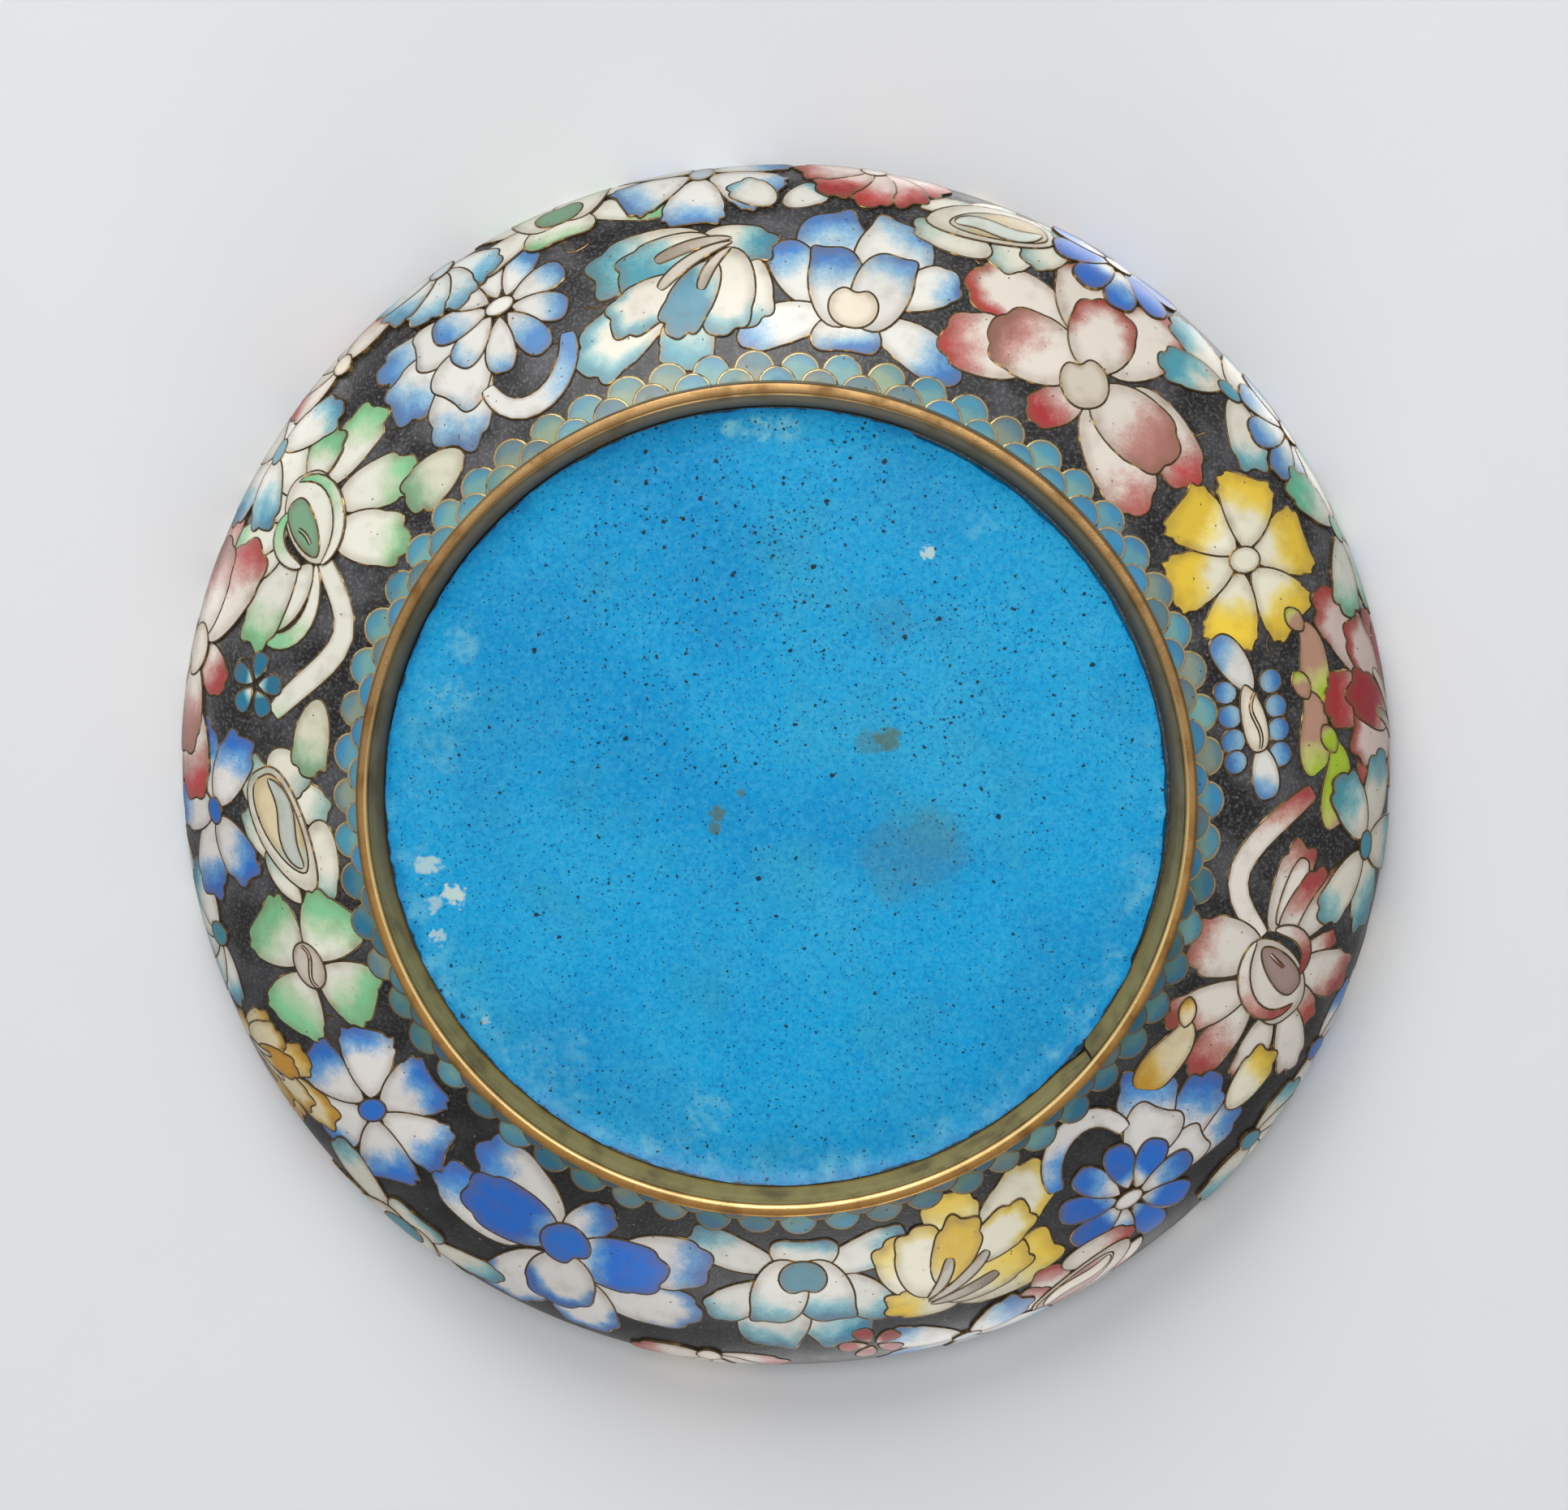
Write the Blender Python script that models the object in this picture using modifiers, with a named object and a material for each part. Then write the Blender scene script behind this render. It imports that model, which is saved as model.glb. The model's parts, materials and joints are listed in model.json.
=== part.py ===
"""Squat cloisonne jar with a domed lid, standing on a turned brass foot ring.

Every piece is turned about the jar's axis, +Z. The origin is the middle of the
surface that the jar stands on. Lengths are in metres, angles in degrees.
"""

import math

import bpy

# Jar body: a copper shell, enamelled on both sides
BELLY_RADIUS = 0.0700
BELLY_RISE = 0.0227
SHOULDER_RISE = 0.0310
FOOT_LATITUDE = 42.0
MOUTH_LATITUDE = 39.0
MOUTH_RADIUS = 0.0440
BODY_WALL = 0.0024
PANEL_DROP = 0.0004

# Foot ring: flat below, its inner face leaning inwards up to the base panel
FOOT_RADIUS = 0.0471
FOOT_FACE = 0.00135
FOOT_LEAN = 0.0016
FOOT_HEIGHT = 0.0040
FOOT_TUCK = 0.0004

# Mouth rim: the ring that edges the mouth
RIM_HEIGHT = 0.0030
RIM_PROUD = 0.0005

# Lid: a domed shell
LID_RISE = 0.0165
LID_LATITUDE = 62.0
LID_WALL = 0.0022
LID_INSET = 0.0006

# Lid rim: the ring under the lid, with a collar that locates it in the mouth
LID_RIM_OVERHANG = 0.0022
LID_RIM_HEIGHT = 0.0026
COLLAR_DROP = 0.0042
COLLAR_WALL = 0.0012
COLLAR_PLAY = 0.0004

# Knob: a pointed bud on a flanged stem
KNOB_FLANGE_RADIUS = 0.0088
KNOB_FLANGE_HEIGHT = 0.0014
KNOB_STEM_RADIUS = 0.0038
KNOB_STEM_HEIGHT = 0.0030
KNOB_BUD_RADIUS = 0.0086
KNOB_BUD_HEIGHT = 0.0112
KNOB_TIP_RADIUS = 0.0016
KNOB_TIP_HEIGHT = 0.0022

# The gap two solids keep, the softening of a turned edge, facets and merging
GAP = 0.0003
EDGE = 0.0003
BODY_SIDES = 56
KNOB_SIDES = 32
CURVE_STEPS = 7
MERGE = 0.00001
QUARTER = math.pi / 2

# Heights and radii that follow from the sizes above
SEAT_HEIGHT = FOOT_HEIGHT + GAP
BELLY_HEIGHT = SEAT_HEIGHT + BELLY_RISE
SHOULDER_TOP = BELLY_HEIGHT + SHOULDER_RISE
SOLE_BORE = FOOT_RADIUS - FOOT_FACE
FOOT_BORE = SOLE_BORE - FOOT_LEAN
PANEL_RADIUS = FOOT_BORE - GAP
RECESS_DEPTH = FOOT_HEIGHT - PANEL_DROP
FLOOR_TOP = RECESS_DEPTH + BODY_WALL
MOUTH_BORE = MOUTH_RADIUS - BODY_WALL
RIM_BASE = SHOULDER_TOP + GAP
RIM_TOP = RIM_BASE + RIM_HEIGHT
LID_RIM_BASE = RIM_TOP + GAP
LID_RIM_TOP = LID_RIM_BASE + LID_RIM_HEIGHT
LID_BASE = LID_RIM_TOP + GAP
LID_RIM_RADIUS = MOUTH_RADIUS + LID_RIM_OVERHANG
LID_RADIUS = LID_RIM_RADIUS - LID_INSET
LID_TOP = LID_BASE + LID_RISE
COLLAR_RADIUS = MOUTH_BORE - COLLAR_PLAY
KNOB_BASE = LID_TOP + GAP


class Bulge:
    """A stretch of an ellipse, from a narrow end to the widest place."""

    def __init__(self, narrow, wide, latitude):
        """narrow and wide are (radius, height); latitude is the slope's start."""
        start = math.radians(latitude)
        self.start = start
        self.across = (wide[0] - narrow[0]) / (1 - math.sin(start))
        self.up = (narrow[1] - wide[1]) / math.cos(start)
        self.centre = (wide[0] - self.across, wide[1])

    def point(self, angle, wall=0.0):
        """The point at an angle from the axis, a wall's thickness inside."""
        up = self.up - math.copysign(wall, self.up)
        return (
            self.centre[0] + (self.across - wall) * math.sin(angle),
            self.centre[1] + up * math.cos(angle),
        )

    def angle_at_height(self, height, wall):
        """Where the curve, a wall inside, reaches a height."""
        up = self.up - math.copysign(wall, self.up)
        return math.acos((height - self.centre[1]) / up)

    def angle_at_radius(self, radius, wall):
        """Where the curve, a wall inside, reaches a radius."""
        return math.asin((radius - self.centre[0]) / (self.across - wall))

    def points(self, first, last, wall=0.0, steps=CURVE_STEPS):
        """Evenly spaced points from one angle to another, both ends included."""
        turns = [first + (last - first) * i / steps for i in range(steps + 1)]
        return [self.point(turn, wall) for turn in turns]


def finish(name, colour, roughness, metallic):
    """A plain Principled material."""
    material = bpy.data.materials.new(name)
    material.use_nodes = True
    material.diffuse_color = (*colour, 1.0)
    shader = material.node_tree.nodes["Principled BSDF"]
    shader.inputs["Base Color"].default_value = (*colour, 1.0)
    shader.inputs["Roughness"].default_value = roughness
    shader.inputs["Metallic"].default_value = metallic
    return material


def turned(name, profile, material, collection, sides=BODY_SIDES, ring=False):
    """A solid turned about +Z from (radius, height) points.

    The profile runs up the inner side and down the outer side. A ring's ends
    are joined; any other profile starts and ends on the axis.
    """
    edges = [(i, i + 1) for i in range(len(profile) - 1)]
    if ring:
        edges.append((len(profile) - 1, 0))
    mesh = bpy.data.meshes.new(name)
    mesh.from_pydata([(radius, 0.0, height) for radius, height in profile], edges, [])
    mesh.materials.append(material)
    piece = bpy.data.objects.new(name, mesh)
    collection.objects.link(piece)
    screw = piece.modifiers.new("Turn", "SCREW")
    screw.axis = "Z"
    screw.steps = screw.render_steps = sides
    screw.use_merge_vertices = True
    screw.merge_threshold = MERGE
    screw.use_smooth_shade = True
    return piece


def body_profile():
    """Inner floor, inner wall, mouth, outer flank and the base panel."""
    lower = Bulge((FOOT_RADIUS - FOOT_TUCK, SEAT_HEIGHT), (BELLY_RADIUS, BELLY_HEIGHT), FOOT_LATITUDE)
    upper = Bulge((MOUTH_RADIUS, SHOULDER_TOP), (BELLY_RADIUS, BELLY_HEIGHT), MOUTH_LATITUDE)
    inner_start = lower.angle_at_height(FLOOR_TOP, BODY_WALL)
    inner_end = upper.angle_at_radius(MOUTH_BORE, BODY_WALL)
    inside = lower.points(inner_start, QUARTER, BODY_WALL)
    inside += upper.points(QUARTER, inner_end, BODY_WALL)[1:]
    outside = upper.points(upper.start, QUARTER)
    outside += lower.points(QUARTER, lower.start)[1:]
    return [
        (0.0, FLOOR_TOP),
        *inside,
        (MOUTH_BORE, SHOULDER_TOP),
        *outside,
        (PANEL_RADIUS, SEAT_HEIGHT),
        (PANEL_RADIUS, RECESS_DEPTH),
        (0.0, RECESS_DEPTH),
    ]


def foot_profile():
    """A ring with a flat foot, softened edges and a leaning inner face."""
    return [
        (FOOT_BORE, RECESS_DEPTH),
        (FOOT_BORE, FOOT_HEIGHT),
        (FOOT_RADIUS, FOOT_HEIGHT),
        (FOOT_RADIUS, EDGE),
        (FOOT_RADIUS - EDGE, 0.0),
        (SOLE_BORE + EDGE, 0.0),
        (SOLE_BORE, EDGE),
    ]


def mouth_rim_profile():
    """A band on the mouth's edge, standing a little proud of the shoulder."""
    outer = MOUTH_RADIUS + RIM_PROUD
    return [
        (MOUTH_BORE, RIM_BASE),
        (MOUTH_BORE, RIM_TOP),
        (outer - EDGE, RIM_TOP),
        (outer, RIM_TOP - EDGE),
        (outer, RIM_BASE + EDGE),
        (outer - EDGE, RIM_BASE),
    ]


def lid_rim_profile():
    """A band under the lid, with a collar that drops into the mouth."""
    bore = COLLAR_RADIUS - COLLAR_WALL
    return [
        (bore, LID_RIM_BASE - COLLAR_DROP),
        (bore, LID_RIM_TOP),
        (LID_RIM_RADIUS - EDGE, LID_RIM_TOP),
        (LID_RIM_RADIUS, LID_RIM_TOP - EDGE),
        (LID_RIM_RADIUS, LID_RIM_BASE + EDGE),
        (LID_RIM_RADIUS - EDGE, LID_RIM_BASE),
        (COLLAR_RADIUS, LID_RIM_BASE),
        (COLLAR_RADIUS, LID_RIM_BASE - COLLAR_DROP),
    ]


def lid_profile():
    """A dome with a flat landing under the knob, open below."""
    land = KNOB_FLANGE_RADIUS
    slope = math.radians(90.0 - LID_LATITUDE)
    across = (LID_RADIUS - land) / math.cos(slope)
    rise = LID_RISE / (1.0 - math.sin(slope))
    base = LID_TOP - rise

    def dome(turn, wall):
        """A point of the dome, from its edge at slope to its top at a quarter turn."""
        return (
            land + (across - wall) * math.cos(turn),
            base + (rise - wall) * math.sin(turn),
        )

    inner_slope = math.asin((LID_BASE - base) / (rise - LID_WALL))
    turns = [i / CURVE_STEPS for i in range(CURVE_STEPS + 1)]
    inside = [dome(inner_slope + (QUARTER - inner_slope) * t, LID_WALL) for t in turns]
    outside = [dome(slope + (QUARTER - slope) * t, 0.0) for t in turns]
    return [
        (0.0, LID_TOP),
        *reversed(outside),
        *inside,
        (0.0, LID_TOP - LID_WALL),
    ]


def knob_profile():
    """Flange, stem, bud and tip, from the tip down to the flange's underside."""
    stem_base = KNOB_BASE + KNOB_FLANGE_HEIGHT
    bud_base = stem_base + KNOB_STEM_HEIGHT
    bud_top = bud_base + KNOB_BUD_HEIGHT
    bud_middle = (bud_base + bud_top) / 2
    bud_half = KNOB_BUD_HEIGHT / 2
    low = math.asin(KNOB_STEM_RADIUS / KNOB_BUD_RADIUS)
    high = math.pi - math.asin(KNOB_TIP_RADIUS / KNOB_BUD_RADIUS)
    turns = [high + (low - high) * i / CURVE_STEPS for i in range(CURVE_STEPS + 1)]
    bud = [
        (KNOB_BUD_RADIUS * math.sin(turn), bud_middle - bud_half * math.cos(turn))
        for turn in turns
    ]
    return [
        (0.0, bud_top + KNOB_TIP_HEIGHT),
        (KNOB_TIP_RADIUS, bud_top + KNOB_TIP_HEIGHT - EDGE),
        *bud,
        (KNOB_STEM_RADIUS, stem_base),
        (KNOB_FLANGE_RADIUS - EDGE, stem_base),
        (KNOB_FLANGE_RADIUS, stem_base - EDGE),
        (KNOB_FLANGE_RADIUS, KNOB_BASE),
        (0.0, KNOB_BASE),
    ]


def main():
    """Clears the scene and turns the six pieces."""
    for thing in list(bpy.data.objects):
        bpy.data.objects.remove(thing)
    jar = bpy.data.collections.new("cloisonne_lidded_jar")
    bpy.context.scene.collection.children.link(jar)

    black_ground = finish("black_ground_enamel", (0.035, 0.033, 0.034), 0.35, 0.0)
    brass = finish("gilt_brass", (0.56, 0.36, 0.13), 0.32, 1.0)

    turned("jar_body", body_profile(), black_ground, jar)
    turned("foot_ring", foot_profile(), brass, jar, ring=True)
    turned("mouth_rim", mouth_rim_profile(), brass, jar, ring=True)
    turned("lid", lid_profile(), black_ground, jar)
    turned("lid_rim", lid_rim_profile(), brass, jar, ring=True)
    turned("lid_knob", knob_profile(), brass, jar, sides=KNOB_SIDES)


main()
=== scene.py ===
"""Dresses the cloisonne lidded jar: black enamel ground, flowers in brass cells, blue
counter-enamel and turned brass. Lengths are in metres, flower designs in millimetres.
The camera looks at the underside, so the side above is the -Y side of the jar."""

import json
import logging
import math
import random
from dataclasses import dataclass, field, replace
from enum import Enum
from typing import Any, Optional, Sequence, Union

import bmesh
import bpy
import numpy as np
from mathutils import Matrix, Vector, noise

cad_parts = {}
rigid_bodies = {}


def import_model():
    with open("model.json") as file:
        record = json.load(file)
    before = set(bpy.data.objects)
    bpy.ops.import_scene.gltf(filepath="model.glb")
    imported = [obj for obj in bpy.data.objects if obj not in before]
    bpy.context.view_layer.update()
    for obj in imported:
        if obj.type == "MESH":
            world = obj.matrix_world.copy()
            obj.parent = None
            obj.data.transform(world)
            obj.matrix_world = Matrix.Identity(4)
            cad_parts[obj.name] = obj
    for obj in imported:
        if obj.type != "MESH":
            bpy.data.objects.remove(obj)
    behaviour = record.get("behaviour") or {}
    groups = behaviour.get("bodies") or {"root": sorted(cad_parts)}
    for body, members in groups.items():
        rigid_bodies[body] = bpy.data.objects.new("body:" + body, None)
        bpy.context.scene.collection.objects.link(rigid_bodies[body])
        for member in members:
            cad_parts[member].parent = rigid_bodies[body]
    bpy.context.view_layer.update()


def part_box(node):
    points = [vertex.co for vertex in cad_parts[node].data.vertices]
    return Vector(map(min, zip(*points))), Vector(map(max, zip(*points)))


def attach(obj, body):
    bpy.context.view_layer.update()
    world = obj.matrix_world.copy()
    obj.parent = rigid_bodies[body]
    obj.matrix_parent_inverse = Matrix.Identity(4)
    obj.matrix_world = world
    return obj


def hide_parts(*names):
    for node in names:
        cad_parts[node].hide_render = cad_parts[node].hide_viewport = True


for startup_object in list(bpy.data.objects):
    bpy.data.objects.remove(startup_object)

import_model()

Colour = tuple[float, float, float]
Point = tuple[float, float]
Profile = list[Point]
Patches = tuple[tuple[float, float, float, float], ...]
Array = np.ndarray
Piece = bpy.types.Object
Finish = bpy.types.Material

MM = 0.001
FULL_TURN = 2 * math.pi
BODY = "root"
TINTS = ("root_tint", "middle_tint", "tip_tint")
JOINT_BEARING = 39.0
WELD = 1e-6

log = logging.getLogger("jar")


def srgb(red: int, green: int, blue: int) -> Colour:
    """A colour as the eye reads it, 0 to 255, turned to linear light.

    Args:
        red, green, blue: the three channels.

    Returns:
        The linear colour.
    """
    levels = (red / 255, green / 255, blue / 255)
    return tuple(v / 12.92 if v <= 0.04045 else ((v + 0.055) / 1.055) ** 2.4 for v in levels)


class Level:
    """A number that varies over a surface, for use in arithmetic."""

    def __init__(self, mixture: "Mixture", socket: bpy.types.NodeSocket) -> None:
        """Wraps a socket of a mixture."""
        self.mixture = mixture
        self.socket = socket

    def __add__(self, other: "Number") -> "Level":
        """This plus another."""
        return self.mixture.maths("ADD", self, other)

    def __radd__(self, other: "Number") -> "Level":
        """Another plus this."""
        return self.mixture.maths("ADD", other, self)

    def __sub__(self, other: "Number") -> "Level":
        """This less another."""
        return self.mixture.maths("SUBTRACT", self, other)

    def __rsub__(self, other: "Number") -> "Level":
        """Another less this."""
        return self.mixture.maths("SUBTRACT", other, self)

    def __mul__(self, other: "Number") -> "Level":
        """This times another."""
        return self.mixture.maths("MULTIPLY", self, other)

    def __rmul__(self, other: "Number") -> "Level":
        """Another times this."""
        return self.mixture.maths("MULTIPLY", other, self)


Number = Union[float, Level]


class Mixture:
    """A node material being mixed, around its Principled shader."""

    def __init__(self, name: str) -> None:
        """Starts a material.

        Args:
            name: its name.
        """
        self.material = bpy.data.materials.new(name)
        self.material.use_nodes = True
        self.tree = self.material.node_tree
        self.shader = self.tree.nodes["Principled BSDF"]

    def feed(self, socket: bpy.types.NodeSocket, value: Any) -> None:
        """Links a varying value to a socket, or sets a constant on it.

        Args:
            socket: the input to feed.
            value: a Level, another node's output, a number or a colour.
        """
        if isinstance(value, Level):
            value = value.socket
        if isinstance(value, bpy.types.NodeSocket):
            self.tree.links.new(value, socket)
        elif socket.type == "RGBA" and len(value) == 3:
            socket.default_value = (*value, 1.0)
        else:
            socket.default_value = value

    def node(
        self,
        kind: str,
        settings: Optional[dict[str, Any]] = None,
        sockets: Optional[dict[Union[str, int], Any]] = None,
    ) -> bpy.types.Node:
        """Adds a node, sets it up and feeds it.

        Args:
            kind: the node's type.
            settings: its properties, set first.
            sockets: values or links of its inputs.

        Returns:
            The node.
        """
        made = self.tree.nodes.new(kind)
        for name, value in (settings or {}).items():
            setattr(made, name, value)
        for name, value in (sockets or {}).items():
            self.feed(made.inputs[name], value)
        return made

    def maths(self, operation: str, first: Number, second: Number) -> Level:
        """One Math node on two numbers."""
        made = self.node("ShaderNodeMath", {"operation": operation}, {0: first, 1: second})
        return Level(self, made.outputs[0])

    def smooth(self, level: Number, low: float, high: float) -> Level:
        """A soft step.

        Args:
            level: what it follows.
            low, high: where it starts and ends, in either order.

        Returns:
            0 on low's side, 1 on high's and smooth between.
        """
        if low > high:
            return 1 - self.smooth(level, high, low)
        made = self.node(
            "ShaderNodeMapRange",
            {"interpolation_type": "SMOOTHSTEP"},
            {"Value": level, "From Min": low, "From Max": high},
        )
        return Level(self, made.outputs["Result"])

    def place(self) -> bpy.types.NodeSocket:
        """Object coordinates, which are the jar's own metres."""
        return self.node("ShaderNodeTexCoord").outputs["Object"]

    def grain(self, scale: float, detail: float = 2.0, vector: Any = None) -> Level:
        """Noise from 0 to 1, with scale in waves to the metre."""
        made = self.node(
            "ShaderNodeTexNoise",
            None,
            {"Vector": vector or self.place(), "Scale": scale, "Detail": detail},
        )
        return Level(self, made.outputs["Fac"])

    def specks(self, scale: float, size: float, share: float, crowd: Number = 0.0) -> Level:
        """Small roundish pits, scattered.

        Args:
            scale: cells to the metre.
            size: a pit's radius as a share of its cell.
            share: how many cells have one, from 0 to 1.
            crowd: how much larger that share is, where it varies.

        Returns:
            1 in a pit and 0 elsewhere.
        """
        cell = self.node(
            "ShaderNodeTexVoronoi", None, {"Vector": self.place(), "Scale": scale}
        )
        chance = self.node(
            "ShaderNodeSeparateColor", None, {"Color": cell.outputs["Color"]}
        )
        away = Level(self, cell.outputs["Distance"]) + (self.grain(scale * 4.0, 1.0) - 0.5) * size * 2.0
        luck = Level(self, chance.outputs[0]) + crowd
        return self.smooth(away, size, size * 0.6) * self.smooth(luck, 1 - share, 1.001 - share)

    def spot(self, x: float, y: float, reach: float, ragged: float = 0.0) -> Level:
        """A soft patch round a vertical line, 1 in the middle.

        Args:
            x, y: its place, in metres.
            reach: its radius, in metres.
            ragged: how far noise pushes its edge, as a share of the radius.

        Returns:
            The patch's strength.
        """
        distance = self.radius(x, y)
        if ragged:
            distance = distance + (self.grain(1.6 / reach, 5.0) - 0.5) * (2 * ragged * reach)
        return self.smooth(distance, reach, reach * 0.55)

    def axes(self) -> tuple[Level, Level, Level]:
        """The place's three coordinates, in metres."""
        split = self.node("ShaderNodeSeparateXYZ", None, {0: self.place()})
        return tuple(Level(self, output) for output in split.outputs)

    def radius(self, x: float = 0.0, y: float = 0.0) -> Level:
        """Distance from a vertical line, which is the jar's axis unless it is moved.

        Args:
            x, y: the line's place, in metres.

        Returns:
            The distance, in metres.
        """
        flat = self.node(
            "ShaderNodeVectorMath",
            {"operation": "MULTIPLY"},
            {0: self.place(), 1: (1.0, 1.0, 0.0)},
        )
        away = self.node(
            "ShaderNodeVectorMath",
            {"operation": "DISTANCE"},
            {0: flat.outputs["Vector"], 1: (x, y, 0.0)},
        )
        return Level(self, away.outputs["Value"])

    def attribute(self, name: str) -> bpy.types.Node:
        """The piece's own attribute of that name."""
        return self.node("ShaderNodeAttribute", {"attribute_name": name})

    def blend(self, factor: Number, first: Any, second: Any) -> bpy.types.NodeSocket:
        """A colour between two, first at 0 and second at 1."""
        made = self.node(
            "ShaderNodeMix", {"data_type": "RGBA"}, {0: factor, 6: first, 7: second}
        )
        return made.outputs[2]

    def bump(self, height: Number, depth: float) -> bpy.types.NodeSocket:
        """A bump normal of a height from 0 to 1, with its depth in metres."""
        made = self.node("ShaderNodeBump", None, {"Height": height, "Distance": depth})
        return made.outputs["Normal"]

    def done(self, **sockets: Any) -> Finish:
        """Feeds the shader's sockets, with _ for a space in each name.

        Args:
            sockets: values for the Principled shader.

        Returns:
            The finished material.
        """
        for name, value in sockets.items():
            self.feed(self.shader.inputs[name.replace("_", " ")], value)
        return self.material


@dataclass(frozen=True)
class BlackGround:
    """Black enamel between the flowers: charcoal, clouded and finely pitted, with a painted sheen that
    makes it lighter and greyer on the side above.
    """

    dark: Colour = srgb(28, 25, 25)
    unsheened_black: Colour = srgb(17, 15, 15)
    cloud_and_sheen: Colour = srgb(84, 83, 86)
    dust_and_sheen: Colour = srgb(158, 156, 156)
    gloss: float = 0.36
    shine: float = 0.50

    def material(self) -> Finish:
        """Mixes the enamel.

        Returns:
            Its material.
        """
        mix = Mixture("black_ground_enamel")
        clouds = mix.smooth(mix.grain(150.0, 6.0), 0.40, 0.72)
        # painted sheen: the ground is lighter and greyer on the side above and darker below, as if lit from
        # above; the clouds and fine dust partly carry this sheen
        above = mix.smooth(mix.axes()[1], 0.044, 0.002)
        colour = mix.blend(above, self.unsheened_black, self.dark)
        colour = mix.blend(clouds * (0.30 + above * 0.70), colour, self.cloud_and_sheen)
        fine = mix.smooth(mix.grain(2600.0, 3.0), 0.45, 0.75)
        colour = mix.blend(fine * (0.06 + above * 0.22), colour, self.dust_and_sheen)
        pits = mix.specks(1100.0, 0.16, 0.10)
        colour = mix.blend(pits * 0.5, colour, self.dust_and_sheen)
        roughness = self.gloss + (mix.grain(500.0, 3.0) - 0.5) * 0.22
        surface = fine * 0.4 - pits * 0.8
        return mix.done(
            Base_Color=colour, Roughness=roughness, Specular_IOR_Level=self.shine,
            Normal=mix.bump(surface, 0.00003),
        )


@dataclass(frozen=True)
class PetalEnamel:
    """Shaded enamel in the cells: each cell brings its own two colours."""

    grime: Colour = srgb(120, 92, 62)
    pit: Colour = srgb(66, 52, 40)
    gloss: float = 0.30

    def material(self) -> Finish:
        """Mixes the enamel.

        Returns:
            Its material.
        """
        mix = Mixture("petal_enamel")
        along = Level(mix, mix.attribute("along").outputs["Fac"])
        rim = Level(mix, mix.attribute("rim").outputs["Fac"])
        grainy = (mix.grain(420.0, 3.0) - 0.5) * 0.9 + (mix.grain(3200.0, 2.0) - 0.5) * 0.35
        shade = along + grainy
        tints = [mix.attribute(name).outputs["Color"] for name in TINTS]
        colour = mix.blend(mix.smooth(shade, 0.0, 0.6), tints[0], tints[1])
        colour = mix.blend(mix.smooth(shade, 0.4, 1.0), colour, tints[2])
        stain = mix.smooth(mix.grain(380.0, 5.0), 0.48, 0.80) * 0.24
        edge = mix.smooth(rim, 0.60, 1.0) * (0.14 + mix.grain(700.0, 2.0) * 0.38)
        colour = mix.blend(stain + edge, colour, self.grime)
        pits = mix.specks(1200.0, 0.17, 0.12)
        colour = mix.blend(pits * 0.8, colour, self.pit)
        roughness = self.gloss + (mix.grain(600.0, 2.0) - 0.5) * 0.2
        return mix.done(Base_Color=colour, Roughness=roughness, Normal=mix.bump(1 - pits, 0.00003))


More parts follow.
